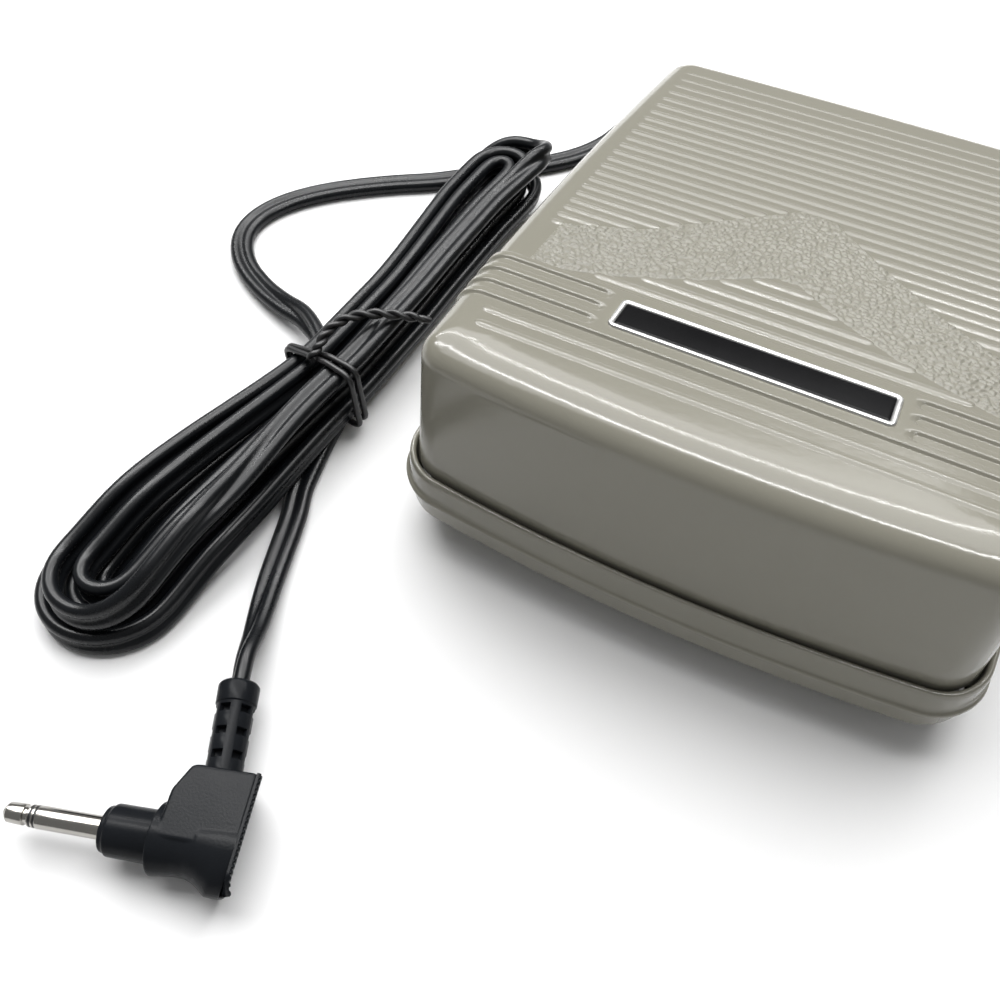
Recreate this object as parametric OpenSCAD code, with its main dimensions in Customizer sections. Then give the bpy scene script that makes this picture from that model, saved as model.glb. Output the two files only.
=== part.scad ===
// Foot pedal for a sewing machine: a hinged tread cover over a rimmed base tray,
// with a rack that turns a potentiometer, and a flat twin cord ending in an angled jack plug.
// Origin at the centre of the footprint on the floor. +X right, +Y towards the hinge, +Z up.

/* [Pedal outline] */
// Width over the rim of the base
pedal_w = 106; // [98:1:116]
// Length over the rim of the base
pedal_l = 136; // [130:1:150]
// Corner radius of the rim
corner_r = 9; // [7:0.5:12]
// How far the front edge bows out between its corners
front_bow = 3.4; // [0:0.2:5]
// How far the sides bow out
side_bow = 1.6; // [0:0.2:2.4]
// How far the rear edge bows out
rear_bow = 0.6; // [0:0.2:2]

/* [Tread cover] */
// Height of the tread plane above the front edge of the footprint
tread_h = 48.4; // [46:0.2:54]
// Fall of the tread towards the hinge, in degrees
tread_angle = 10; // [8:0.5:10.5]
// Radius of the rounded edge round the tread
edge_r = 5; // [4:0.5:6]
// Draft of the cover walls, in degrees
draft = 4.5; // [4:0.25:6]
// Wall thickness of the cover
cover_t = 2.2; // [1.8:0.1:2.6]
// How far the cover reaches down inside the rim
cover_lap = 1.2; // [0.8:0.1:2]
// Gap between the cover wall and the rim
cover_gap = 0.5; // [0.4:0.1:0.8]

/* [Tread pattern] */
// Spacing of the ribs beside the grained band
rib_pitch = 2.75; // [2.6:0.05:3]
// How much each rib gap widens towards the hinge
rib_growth = 0.054; // [0:0.006:0.06]
// Number of ribs from the grained band to the hinge end
rib_count = 24; // [20:1:25]
// Width of a rib
rib_w = 1.3; // [0.8:0.1:1.6]
// Height of a rib
rib_h = 0.5; // [0.3:0.1:0.8]
// Plain margin between the ribs and the side wall
rib_margin = 5; // [4:0.5:8]
// Spacing of the broad ridges beside the badge
ridge_pitch = 3.8; // [3.4:0.1:3.9]
// Width of a broad ridge
ridge_w = 2; // [1.6:0.1:2.4]

/* [Badge] */
// Length of the badge frame
badge_w = 45.6; // [38:0.2:46]
// Depth of the badge frame
badge_d = 7.9; // [7:0.1:9]
// Width of the frame's border
badge_border = 1; // [0.7:0.1:1.4]
// Thickness of the badge frame
badge_t = 1.2; // [1:0.1:1.4]

/* [Base] */
// Height of the rim's top edge above the floor
rim_top = 18.2; // [17:0.1:19]
// Height of the lip at the foot of the rim
lip_z = 12.4; // [11:0.1:13]
// Wall thickness of the rim
rim_t = 1.2; // [1:0.1:1.5]
// How far the tub stands in from the lip
tub_inset = 5.25; // [5:0.25:7]
// Wall thickness of the tub
tub_t = 2.2; // [1.8:0.1:2.6]
// Thickness of the tub's floor
floor_t = 2; // [1.6:0.1:2.4]
// Height of the channel floor that the cover sinks into
channel_z = 8.6; // [8.2:0.1:8.8]
// Thickness of the rubber feet
foot_h = 1.2; // [1:0.1:1.6]
// Diameter of the rubber feet
foot_d = 12; // [9:0.5:14]

/* [Hinge and travel] */
// Full travel of the tread, in degrees
press_angle = 3.2; // [2:0.1:3.2]
// Distance from the rear edge to the hinge axis
hinge_in = 10; // [9.5:0.25:11]
// Height of the hinge axis
hinge_z = 13.5; // [13:0.1:14]
// Diameter of the hinge pins
pin_d = 3; // [2.5:0.1:3.4]
// Distance of the hinge lugs from the middle
lug_x = 36; // [30:0.5:38]
// Thickness of a hinge lug
lug_t = 3; // [2.5:0.1:3.4]
// Radial clearance of turning parts
run_gap = 0.06; // [0.04:0.01:0.09]

/* [Return springs] */
// Outside diameter of the return springs
spring_d = 10; // [9:0.5:12]
// Wire diameter of the springs
spring_wire = 1; // [0.8:0.1:1.2]
// Number of turns
spring_turns = 7; // [5:1:8]
// Distance of each spring from the middle
spring_x = 28; // [26:0.5:30]
// Height of a spring at rest
spring_len = 21; // [18:0.5:24]

/* [Rack and potentiometer] */
// Module of the rack and pinion
gear_m = 1.5; // [1.4:0.05:1.5]
// Number of teeth on the pinion
pinion_teeth = 10; // [10:1:10]
// Pitch radius of the rack about the hinge axis
rack_r = 84; // [82:0.5:86]
// Width of the rack
rack_w = 5; // [4:0.5:6]
// Diameter of the potentiometer shaft
shaft_d = 4; // [3:0.2:4.4]
// Diameter of the potentiometer can
pot_d = 16; // [14:0.5:17]

/* [Circuit board] */
// Width of the board
board_w = 44; // [40:1:50]
// Length of the board
board_l = 30; // [26:1:32]
// Thickness of the board
board_t = 1.6; // [1:0.2:2]

/* [Cord and plug] */
// Width of the flat twin cord
cord_w = 5.2; // [4.8:0.1:5.2]
// Thickness of the flat twin cord
cord_t = 2.7; // [2.4:0.1:2.7]
// Diameter of the jack
jack_d = 3.5; // [3.5:0.1:3.5]
// Exposed length of the jack
jack_len = 15.8; // [14:0.2:17]
// Diameter of the plug's barrel
barrel_d = 8.6; // [8:0.1:10]
// Thickness of the plug body
plug_t = 11.4; // [10:0.2:11.8]

/* [Hidden] */
$fn = 48;

// Derived sizes
half_w = pedal_w / 2;
half_l = pedal_l / 2;
rim_in = 0.9 + rim_t;
cover_in = rim_in + cover_gap;
cover_z = rim_top - cover_lap;
floor_z = foot_h + floor_t;
tub_in = tub_inset + tub_t;
shelf_z = channel_z - 2;
hinge_y = half_l - hinge_in;
gap = 0.3;

// Outline of the pedal: a rounded rectangle with bowed edges, seen from above.
// d moves it inwards. Each corner has arc_n steps and each edge edge_n steps.
arc_n = 5;
edge_n = 6;
side_n = arc_n + edge_n;
ring_n = 4 * side_n;
function lerp(a, b, t) = a + (b - a) * t;
function corner_at(c, a, d) =
    let (r = max(corner_r - d, 2.5), w = half_w - d - r, l = half_l - d - r,
        sx = (c == 0 || c == 3) ? -1 : 1, sy = c < 2 ? -1 : 1)
    [sx * w + r * cos(a), sy * l + r * sin(a)];
function bow(p, d) =
    let (w = half_w - d, l = half_l - d)
    [p.x * (1 - side_bow / w * pow(p.y / l, 2)),
     p.y * (1 - (p.y < 0 ? front_bow : rear_bow) / l * pow(p.x / w, 2))];
function outline_at(i, d) =
    let (c = floor(i / side_n), k = i - c * side_n, a = 180 + 90 * c)
    bow(k <= arc_n ? corner_at(c, a + 90 * k / arc_n, d)
        : lerp(corner_at(c, a + 90, d), corner_at((c + 1) % 4, a + 90, d), (k - arc_n) / edge_n), d);
function flat_ring(d, z) = [for (i = [0:ring_n - 1]) concat(outline_at(i, d), z)];

// A closed body from a stack of rings with equal counts, capped at both ends.
module loft(rings) {
    n = len(rings[0]);
    last = len(rings) - 1;
    polyhedron(points = [for (r = rings) each r],
        faces = concat([[for (i = [0:n - 1]) i]],
            [for (k = [0:last - 1], i = [0:n - 1]) let (j = (i + 1) % n)
                each [[k * n + i, (k + 1) * n + i, k * n + j], [k * n + j, (k + 1) * n + i, (k + 1) * n + j]]],
            [[for (i = [n - 1:-1:0]) last * n + i]]));
}

// Tread plane: height at y, and a frame that lies in it at a given y.
function tread_z(y) = tread_h - (y + half_l) * tan(tread_angle);
module on_tread(y) {
    translate([0, y, tread_z(y)])
        rotate([-tread_angle, 0, 0])
            children();
}
function wall_in(z) = cover_in + (z - rim_top) * tan(draft);
// One ring of the cover, drop below the tread plane, moved in by extra.
function tread_ring(drop, extra) = [for (i = [0:ring_n - 1])
    let (z0 = tread_z(outline_at(i, cover_in).y) - edge_r,
        p = outline_at(i, wall_in(z0) + extra))
    concat(p, tread_z(p.y) - drop)];

module rounded_bar(length, width, height) {
    linear_extrude(height)
        union() {
            square([length - width, width], center = true);
            for (s = [-1, 1])
                translate([s * (length - width) / 2, 0])
                    circle(d = width, $fn = 24);
        }
}
module plate_round(size, r, height) {
    linear_extrude(height)
        union() {
            square([size.x - 2 * r, size.y], center = true);
            square([size.x, size.y - 2 * r], center = true);
            for (sx = [-1, 1], sy = [-1, 1])
                translate([sx * (size.x / 2 - r), sy * (size.y / 2 - r)])
                    circle(r);
        }
}
module pan_screw(d, length, head_d, head_h) {
    difference() {
        union() {
            translate([0, 0, -length])
                cylinder(d = d, h = length);
            cylinder(d = head_d, h = head_h);
        }
        translate([-head_d / 2 - 1, -0.4, head_h / 2])
            cube([head_d + 2, 0.8, head_h]);
    }
}

// Base tray: cross-section walked from the underside, out round the rim and down into the tub.
foot_x = half_w - foot_d / 2 - 12;
foot_y = half_l - foot_d / 2 - 14;
lip_h = 0.8;
lip_out = 0.8;
module base_shell() {
    loft([flat_ring(tub_inset + 0.7, foot_h), flat_ring(tub_inset + 0.15, foot_h + 0.6),
        flat_ring(tub_inset, shelf_z), flat_ring(lip_out + 0.6, shelf_z),
        flat_ring(lip_out + 0.1, shelf_z + 0.6), flat_ring(lip_out, lip_z - lip_h / 2),
        flat_ring(0, lip_z), flat_ring(0, lip_z + lip_h), flat_ring(lip_out - 0.2, lip_z + lip_h + 0.3),
        flat_ring(0.9, rim_top - 1), flat_ring(1.15, rim_top - 0.3), flat_ring(0.9 + rim_t / 2, rim_top),
        flat_ring(rim_in, rim_top - 0.5), flat_ring(rim_in, channel_z), flat_ring(tub_in, channel_z),
        flat_ring(tub_in, floor_z)]);
}

// Hinge: a fixed lug on the base beside a hanging lug on the cover, on each side.
lug_r = pin_d / 2 + 2;
base_lug_x = lug_x + lug_t + gap;
module base_lug() {
    translate([base_lug_x, hinge_y, hinge_z])
        rotate([0, 90, 0])
            cylinder(r = lug_r, h = lug_t);
    translate([base_lug_x, hinge_y - lug_r, floor_z - 0.5])
        cube([lug_t, lug_r * 1.5, hinge_z - floor_z + 0.5]);
}
module pin_bore(x, length, r) {
    translate([x, hinge_y, hinge_z])
        rotate([0, 90, 0])
            cylinder(r = r, h = length);
}

// Spring seats
spring_y = -30;
seat_z = floor_z + 1;
post_d = spring_d - 2 * spring_wire - 1;
spring_top = seat_z + gap + spring_len + gap;

// Stop pads
stop_x = 37;
stop_y = -half_l + 18;
pad_d = 8;
pad_h = 6;
stop_drop = (hinge_y - stop_y) * sin(press_angle);
stop_z = floor_z + pad_h + stop_drop + gap;

// Potentiometer and board places
pinion_r = gear_m * pinion_teeth / 2;
pinion_y = hinge_y - rack_r - pinion_r;
pinion_z = hinge_z;
bracket_x = rack_w / 2 + 3;
bracket_t = 1.5;
bracket_w = 30;
bracket_foot = 15;
bracket_screw_y = 11.5;
bushing_d = 7;
boss_d = 7;
board_z = floor_z + 3;
board_y = 8;
board_hole_x = board_w / 2 - 4;
screw_d = 3;
pilot_d = screw_d + 0.1;
clear_d = screw_d + 0.4;
screw_len = 4.4;
head_d = 5.6;
head_h = 2;

// Cord exit in the rear wall, and the clamp behind it
exit_x = -22;
exit_z = floor_z + cord_t / 2 + 0.1;
gland_w = cord_w + 3;
gland_h = 2 * (shelf_z - exit_z);
clamp_y = half_l - tub_in - 12;
clamp_screw_x = 7;
clamp_z = exit_z + cord_t / 2;

module base_housing() {
    color("DarkKhaki")
        difference() {
            union() {
                base_shell();
                base_lug();
                mirror([1, 0, 0])
                    base_lug();
                for (s = [-1, 1]) {
                    translate([s * spring_x, spring_y, floor_z - 0.5]) {
                        cylinder(d = spring_d + 2, h = seat_z - floor_z + 0.5);
                        cylinder(d = post_d, h = 8);
                    }
                    translate([s * board_hole_x, board_y, floor_z - 0.5])
                        cylinder(d = boss_d, h = board_z - floor_z + 0.5);
                    translate([exit_x + s * clamp_screw_x, clamp_y, floor_z - 0.5])
                        cylinder(d = boss_d - 1, h = clamp_z - floor_z + 0.5);
                    // Stiffening ribs across the floor of the tub
                    translate([-half_w + tub_in - 0.5, s * 20 - 2.5, floor_z - 0.5])
                        cube([10, 1.4, channel_z - floor_z]);
                    translate([half_w - tub_in - 9.5, s * 20 - 2.5, floor_z - 0.5])
                        cube([10, 1.4, channel_z - floor_z]);
                }
            }
            for (s = [-1, 1]) {
                pin_bore(s > 0 ? base_lug_x - 1 : -base_lug_x - lug_t - 1, lug_t + 2, pin_d / 2 + run_gap / 2);
                translate([s * board_hole_x, board_y, floor_z])
                    cylinder(d = pilot_d, h = 20);
                translate([exit_x + s * clamp_screw_x, clamp_y, floor_z])
                    cylinder(d = pilot_d, h = 20);
                translate([bracket_x + bracket_foot / 2, pinion_y + s * bracket_screw_y, foot_h + 0.3])
                    cylinder(d = pilot_d, h = 20);
            }
            // Slot for the gland
            translate([exit_x - gland_w / 2, half_l - tub_in - 2, exit_z - gland_h / 2])
                cube([gland_w, tub_t + 6, gland_h]);
        }
}

// Grained band across the tread: corner points of its upper and lower edges,
// as x and the distance in front of or behind the badge line.
badge_y = -half_l + 30.7;
band_top = [[-46, -19], [-28, -11.5], [-4, 12], [2, 12], [23, -7], [46, -22]];
band_low = [[-46, -32], [-31, -29.5], [-14, -20.5], [-3, -13], [1, -13], [16, -22.5], [32, -27], [46, -34]];
// Where a polyline crosses height y, on the side given by s, or undef
function cross_x(line, y, s) =
    let (hits = [for (i = [0:len(line) - 2]) let (a = line[i], b = line[i + 1])
        if ((a.y - y) * (b.y - y) < 0) lerp(a.x, b.x, (y - a.y) / (b.y - a.y))])
    s < 0 ? min(hits) : max(hits);
band_peak = max([for (p = band_top) p.y]);
low_peak = max([for (p = band_low) p.y]);
rib_start = -17.5;
function rib_y(k) = rib_start + rib_pitch * k + rib_growth * k * (k - 1) / 2;
rib_half = half_w - cover_in - rib_margin;
function rib_side(y) = rib_half - side_bow * pow(y / half_l, 2) - (tread_z(y) - rim_top) * tan(draft);

module rib(x0, x1, y, w) {
    if (x1 - x0 > 2 * w)
        translate([(x0 + x1) / 2, 0, 0])
            on_tread(y)
                translate([0, 0, -0.3])
                    rounded_bar(x1 - x0, w, rib_h + 0.3);
}
module tread_ribs() {
    // Fine ribs behind the band
    for (k = [0:rib_count - 1]) {
        y = rib_y(k);
        side = rib_side(y);
        if (y > band_peak - 0.5)
            rib(-side, side, y, rib_w);
        else {
            rib(-side, cross_x(band_top, y, -1), y, rib_w);
            rib(cross_x(band_top, y, 1), side, y, rib_w);
        }
    }
    // Ribs in front of the band, under its peak
    for (k = [1:5]) {
        y = badge_y + 5.2 + k * low_pitch;
        if (y < low_peak - 0.5)
            rib(cross_x(band_low, y, -1), cross_x(band_low, y, 1), y, rib_w);
    }
    // Long ribs in front of the badge
    for (k = [0:1]) {
        y = badge_y - ridge_pitch * (2.5 + k);
        rib(-rib_side(y) + 1, rib_side(y) - 1, y, ridge_w * 0.9);
    }
}
// Plateau round the badge, wrapped over both side edges, with grooves beside the badge
module badge_plateau() {
    difference() {
        intersection() {
            cover_shell(rib_h);
            on_tread(badge_y)
                translate([-half_w, -ridge_pitch * 1.75, -wrap_drop])
                    cube([pedal_w, ridge_pitch * 3.5, wrap_drop * 2]);
        }
        for (k = [-1:1], s = [-1, 1])
            on_tread(badge_y + k * ridge_pitch)
                translate([s * (groove_x + half_w), 0, -wrap_drop - 1])
                    rounded_bar(pedal_w, groove_w, 2 * wrap_drop + 2);
    }
}
low_pitch = 3.4;
wrap_drop = edge_r + 3;
groove_w = ridge_pitch - ridge_w;
groove_x = badge_w / 2 + 2.4;

module cover_shell(grow = 0) {
    loft(concat([flat_ring(wall_in(cover_z) - grow, cover_z)],
        [for (a = [0:18:90]) tread_ring(edge_r - (edge_r + grow) * sin(a), edge_r - (edge_r + grow) * cos(a))]));
}
module cover_hollow() {
    loft([flat_ring(wall_in(cover_z) + cover_t, cover_z - 1),
        tread_ring(edge_r + cover_t / 2, cover_t), tread_ring(cover_t, cover_t + edge_r / 2)]);
}
badge_sink = 0.3;
module cover_lug() {
    translate([lug_x, hinge_y, hinge_z])
        rotate([0, 90, 0])
            cylinder(r = lug_r, h = lug_t);
    translate([lug_x, hinge_y - lug_r, hinge_z])
        cube([lug_t, 2 * lug_r, tread_z(hinge_y + lug_r) - hinge_z - 1]);
}
rack_foot_y = hinge_y - rack_r + 15;
rack_foot_l = 18;
rack_top = tread_z(rack_foot_y + rack_foot_l / 2) - cover_t - 4;
rack_screw_y = 5;
rack_screw_d = 2;
module cover_webs() {
    for (x = [-18, 18])
        translate([x, 0, 0])
            rotate([90, 0, 90])
                linear_extrude(1.4, center = true)
                    polygon([[-half_l + 9, tread_z(-half_l + 9) - 9], [hinge_y, tread_z(hinge_y) - 6],
                        [hinge_y, tread_z(hinge_y) - 1.5], [-half_l + 9, tread_z(-half_l + 9) - 1.5]]);
}
module pedal_cover() {
    color("Tan")
        difference() {
            union() {
                difference() {
                    union() {
                        cover_shell();
                        badge_plateau();
                    }
                    cover_hollow();
                }
                tread_ribs();
                cover_webs();
                cover_lug();
                mirror([1, 0, 0])
                    cover_lug();
                for (s = [-1, 1]) {
                    translate([s * spring_x, spring_y, 0]) {
                        translate([0, 0, spring_top])
                            cylinder(d = spring_d + 2, h = tread_z(spring_y) - spring_top - 1.2);
                        translate([0, 0, spring_top - 5])
                            cylinder(d = post_d - 0.6, h = 6);
                    }
                    translate([s * stop_x, stop_y, stop_z])
                        cylinder(d = pad_d - 2, h = tread_z(stop_y) - stop_z - 1.5);
                    translate([0, rack_foot_y + s * rack_screw_y, rack_top])
                        cylinder(d = boss_d, h = tread_z(rack_foot_y + s * rack_screw_y) - rack_top - 1.5);
                }
            }
            on_tread(badge_y)
                translate([-0.3, 0, -badge_sink])
                    plate_round([badge_w + 1, badge_d + 0.4], 1.3, 5);
            for (s = [-1, 1]) {
                pin_bore(s > 0 ? lug_x - 1 : -lug_x - lug_t - 1, lug_t + 2, pin_d / 2 + run_gap);
                translate([0, rack_foot_y + s * rack_screw_y, rack_top - 1])
                    cylinder(d = rack_screw_d + 0.1, h = 5);
            }
        }
}

// Badge: a bright frame seated in its recess, round a dark panel.
module badge_at() {
    on_tread(badge_y)
        translate([0, 0, -badge_sink])
            children();
}
panel_t = 0.5;
module badge_frame() {
    color("Silver")
        badge_at()
            difference() {
                plate_round([badge_w, badge_d], 1.2, badge_t);
                translate([0, 0, badge_t - panel_t - 0.2])
                    plate_round([badge_w - 2 * badge_border, badge_d - 2 * badge_border], 0.5, 2);
            }
}
module badge_panel() {
    color("Black")
        badge_at()
            translate([0, 0, badge_t - panel_t - 0.2])
                plate_round([badge_w - 2 * badge_border - 0.1, badge_d - 2 * badge_border - 0.1], 0.45, panel_t);
}

// Hinge pins, one on each side
module hinge_pin(s) {
    color("LightSteelBlue")
        pin_bore(s > 0 ? lug_x - 0.6 : -base_lug_x - lug_t - 0.6, lug_t * 2 + gap + 1.2, pin_d / 2);
}
module hinge_pin_left() { hinge_pin(-1); }
module hinge_pin_right() { hinge_pin(1); }

// A tube swept along points, with an oval section: a half width across, b half height.
// turn holds the roll of the section at each point.
function unit(v) = v / norm(v);
function section(p, t, a, b, roll, n, start) =
    let (s = unit(cross([0, 0, 1], t)), u = cross(t, s))
    [for (i = [0:n - 1]) let (w = start + 360 * i / n, x = a * cos(w), y = b * sin(w))
        p + s * (x * cos(roll) - y * sin(roll)) + u * (x * sin(roll) + y * cos(roll))];
function tangent(path, i) =
    unit(path[min(i + 1, len(path) - 1)] - path[max(i - 1, 0)]);
module swept(path, a, b, rolls, n, start) {
    loft([for (i = [0:len(path) - 1])
        section(path[i], tangent(path, i), a, b, rolls[i], n, start)]);
}
module wire(path, r) {
    swept(path, r, r, [for (p = path) 0], 6, 0);
}

// Return springs: a round wire with closed end turns
spring_steps = 8;
function spring_path(x) =
    let (n = spring_turns * spring_steps, rise = spring_len - spring_wire,
        coil_r = (spring_d - spring_wire) / 2)
    [for (i = [0:n]) let (t = i / n, e = 1 / spring_turns,
        climb = t < e ? 0 : (t > 1 - e ? 1 : (t - e) / (1 - 2 * e)),
        lap = spring_wire * 1.1,
        z = t < e ? lap * t / e : (t > 1 - e ? rise - lap * (1 - t) / e : lap + (rise - 2 * lap) * climb))
        [x + coil_r * cos(360 * spring_turns * t), spring_y + coil_r * sin(360 * spring_turns * t),
            seat_z + gap + spring_wire / 2 + z]];
module return_spring(x) {
    color("SlateGray")
        wire(spring_path(x), spring_wire / 2);
}
module return_spring_left() { return_spring(-spring_x); }
module return_spring_right() { return_spring(spring_x); }

module rubber_foot(sx, sy) {
    color("DimGray")
        translate([sx * foot_x, sy * foot_y, 0]) {
            cylinder(d = foot_d - 1, h = 0.4);
            translate([0, 0, 0.4])
                cylinder(d = foot_d, h = foot_h - 0.4);
        }
}
module foot_front_left() { rubber_foot(-1, -1); }
module foot_front_right() { rubber_foot(1, -1); }
module foot_rear_left() { rubber_foot(-1, 1); }
module foot_rear_right() { rubber_foot(1, 1); }

module stop_pad(s) {
    color("DimGray")
        translate([s * stop_x, stop_y, floor_z])
            difference() {
                cylinder(d = pad_d, h = pad_h);
                translate([0, 0, pad_h - 1])
                    cylinder(d = pad_d / 2, h = 2);
            }
}
module stop_pad_left() { stop_pad(-1); }
module stop_pad_right() { stop_pad(1); }

// Rack: a toothed arc about the hinge axis, hung from the cover. In its plane x runs along Y
// from the hinge axis and y runs up.
addendum = 0.75 * gear_m;
dedendum = 1.15 * gear_m;
tooth_half = PI * gear_m / 4 - 0.18;
tooth_step = 180 * gear_m / rack_r;
rack_low = -0.75;
rack_back = 4;
module in_gear_plane(width) {
    translate([-width / 2, hinge_y, hinge_z])
        rotate([90, 0, 90])
            linear_extrude(width)
                children();
}
function on_arc(r, a) = [-r * cos(a), r * sin(a)];
module drive_rack() {
    root = rack_r - dedendum;
    low = rack_low * tooth_step - 1;
    top_a = asin((rack_top - hinge_z) / (root - rack_back / 2));
    foot_t = 2;
    flange_y = rack_foot_y - hinge_y;
    color("Ivory")
        difference() {
            union() {
                in_gear_plane(rack_w)
                    union() {
                        polygon(concat([for (k = [0:8]) on_arc(root, lerp(low, top_a, k / 8))],
                            [for (k = [8:-1:0]) on_arc(root - rack_back, lerp(low, top_a, k / 8))]));
                        for (k = [-0.5:1:3.5])
                            rotate(-k * tooth_step)
                                polygon([[-root + 0.5, -tooth_half - 0.6], [-rack_r, -tooth_half],
                                    [-rack_r - addendum, -tooth_half + 0.45],
                                    [-rack_r - addendum, tooth_half - 0.45],
                                    [-rack_r, tooth_half], [-root + 0.5, tooth_half + 0.6]]);
                    }
                // Gussets on both sides of the screws, and the flange
                for (s = [-1, 1])
                    translate([s * (rack_w / 2), 0, 0])
                        in_gear_plane(1)
                            polygon([[-root + rack_back / 2, rack_top - hinge_z - 14],
                                [flange_y + 4, rack_top - hinge_z - foot_t / 2],
                                [-root + rack_back / 2, rack_top - hinge_z - foot_t / 2]]);
                translate([-boss_d / 2, hinge_y - root - 0.5, rack_top - foot_t])
                    cube([boss_d, rack_foot_y + rack_foot_l / 2 - hinge_y + root + 0.5, foot_t]);
            }
            for (s = [-1, 1])
                translate([0, rack_foot_y + s * rack_screw_y, rack_top - foot_t - 1])
                    cylinder(d = rack_screw_d + 0.4, h = foot_t + 2);
            translate([-rack_w, hinge_y - rack_r - 5, rack_top])
                cube([2 * rack_w, 40, 10]);
        }
}
module rack_screws() {
    color("Gainsboro")
        for (s = [-1, 1])
            translate([0, rack_foot_y + s * rack_screw_y, rack_top - 2])
                rotate([180, 0, 0])
                    pan_screw(rack_screw_d, screw_len, rack_w - 1.2, 1.4);
}

// Pinion on the potentiometer shaft. A tooth points at the rack at rest.
pinion_w = rack_w + 0.6;
module pinion() {
    root = pinion_r - dedendum;
    color("Ivory")
        translate([0, pinion_y - hinge_y, 0])
            difference() {
                in_gear_plane(pinion_w)
                    union() {
                        circle(r = root);
                        for (k = [0:pinion_teeth - 1])
                            rotate(k * 360 / pinion_teeth)
                                polygon([[root - 1, -tooth_half], [pinion_r, -tooth_half + 0.05],
                                    [pinion_r + addendum, -0.42], [pinion_r + addendum, 0.42],
                                    [pinion_r, tooth_half - 0.05], [root - 1, tooth_half]]);
                    }
                translate([-pinion_w, hinge_y, hinge_z])
                    rotate([0, 90, 0])
                        cylinder(d = shaft_d, h = 2 * pinion_w);
            }
}
pot_x = bracket_x + bracket_t;
pot_len = 8;
nut_t = 1.8;
module along_shaft(x0) {
    translate([x0, pinion_y, pinion_z])
        rotate([0, 90, 0])
            children();
}
module pot_shaft() {
    color("Silver")
        along_shaft(-pinion_w / 2 - 1)
            cylinder(d = shaft_d, h = pot_x + pot_len / 2 + pinion_w / 2 + 1);
}
module pot_body() {
    color("DarkSlateGray")
        difference() {
            union() {
                along_shaft(pot_x)
                    cylinder(d = pot_d, h = pot_len);
                along_shaft(bracket_x - nut_t - 0.2)
                    cylinder(d = bushing_d, h = bracket_t + nut_t + 1);
                for (k = [-1:1])
                    translate([pot_x + 3, pinion_y + pot_d / 2 - 1, pinion_z + 3 * k - 0.6])
                        cube([0.6, 4, 1.2]);
            }
            along_shaft(bracket_x - nut_t - 2)
                cylinder(d = shaft_d + 2 * run_gap, h = pot_x - bracket_x + nut_t + 2 + pot_len / 2 + gap);
        }
}
module pot_nut() {
    color("Goldenrod")
        difference() {
            along_shaft(bracket_x - nut_t)
                cylinder(d = bushing_d + 3.4, h = nut_t, $fn = 6);
            along_shaft(bracket_x - nut_t - 1)
                cylinder(d = bushing_d, h = nut_t + 2);
        }
}
module pot_bracket() {
    color("LightGray")
        difference() {
            union() {
                translate([bracket_x, pinion_y - pot_d / 2 - 1, floor_z])
                    cube([bracket_t, pot_d + 2, pinion_z - floor_z]);
                along_shaft(bracket_x)
                    cylinder(d = pot_d + 2, h = bracket_t);
                translate([bracket_x, pinion_y - bracket_w / 2, floor_z])
                    cube([bracket_foot, bracket_w, bracket_t]);
            }
            along_shaft(bracket_x - 1)
                cylinder(d = bushing_d, h = bracket_t + 2);
            for (s = [-1, 1])
                translate([bracket_x + bracket_foot / 2, pinion_y + s * bracket_screw_y, floor_z - 1])
                    cylinder(d = clear_d, h = bracket_t + 2);
        }
}
module bracket_screws() {
    color("Gainsboro")
        for (s = [-1, 1])
            translate([bracket_x + bracket_foot / 2, pinion_y + s * bracket_screw_y, floor_z + bracket_t])
                pan_screw(screw_d, bracket_t + floor_t - 0.4, head_d, head_h);
}

// Circuit board on its bosses
module circuit_board() {
    color("SeaGreen")
        difference() {
            translate([-board_w / 2, board_y - board_l / 2, board_z])
                cube([board_w, board_l, board_t]);
            for (s = [-1, 1])
                translate([s * board_hole_x, board_y, board_z - 1])
                    cylinder(d = clear_d, h = board_t + 2);
        }
}
module board_screws() {
    color("Gainsboro")
        for (s = [-1, 1])
            translate([s * board_hole_x, board_y, board_z + board_t])
                pan_screw(screw_d, screw_len, head_d, head_h);
}
module filter_capacitor() {
    color("MidnightBlue")
        translate([6, board_y + 6, board_z + board_t]) {
            cylinder(d = 8, h = 10.5);
            translate([0, 0, 10.5])
                cylinder(d = 7, h = 0.5);
        }
}

// Cord inside the base: the clamp, the flat cord's end and its two cores
module cord_clamp() {
    color("Black")
        difference() {
            translate([exit_x, clamp_y, clamp_z])
                plate_round([2 * clamp_screw_x + 6.4, 7], 1.5, 2);
            for (s = [-1, 1])
                translate([exit_x + s * clamp_screw_x, clamp_y, clamp_z - 1])
                    cylinder(d = clear_d, h = 4);
        }
}
module clamp_screws() {
    color("Gainsboro")
        for (s = [-1, 1])
            translate([exit_x + s * clamp_screw_x, clamp_y, clamp_z + 2])
                pan_screw(screw_d, screw_len, head_d, head_h);
}
gland_in_y = half_l - tub_in - 1.6;
core_r = 0.8;
stub_y = clamp_y - 6;
module core_wires() {
    board_end = board_y + board_l / 2 - 4;
    top = board_z + board_t;
    color("DimGray")
        union() {
            translate([exit_x - cord_w / 2, stub_y, exit_z - cord_t / 2])
                cube([cord_w, gland_in_y - stub_y, cord_t]);
            for (s = [-1, 1])
                wire([[exit_x + s * 1.3, stub_y + 0.5, exit_z], [exit_x + s * 1.3, stub_y - 3, exit_z],
                    [exit_x + s * 2 + 2, stub_y - 8, exit_z + 2], [exit_x + s * 2.5 + 5, board_end + 8, top + 3],
                    [exit_x + s * 2.5 + 7, board_end + 3, top + 4], [exit_x + s * 2.5 + 7.5, board_end + 0.6, top + 2.6],
                    [exit_x + s * 2.5 + 7.5, board_end, top]], core_r);
        }
}
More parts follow.
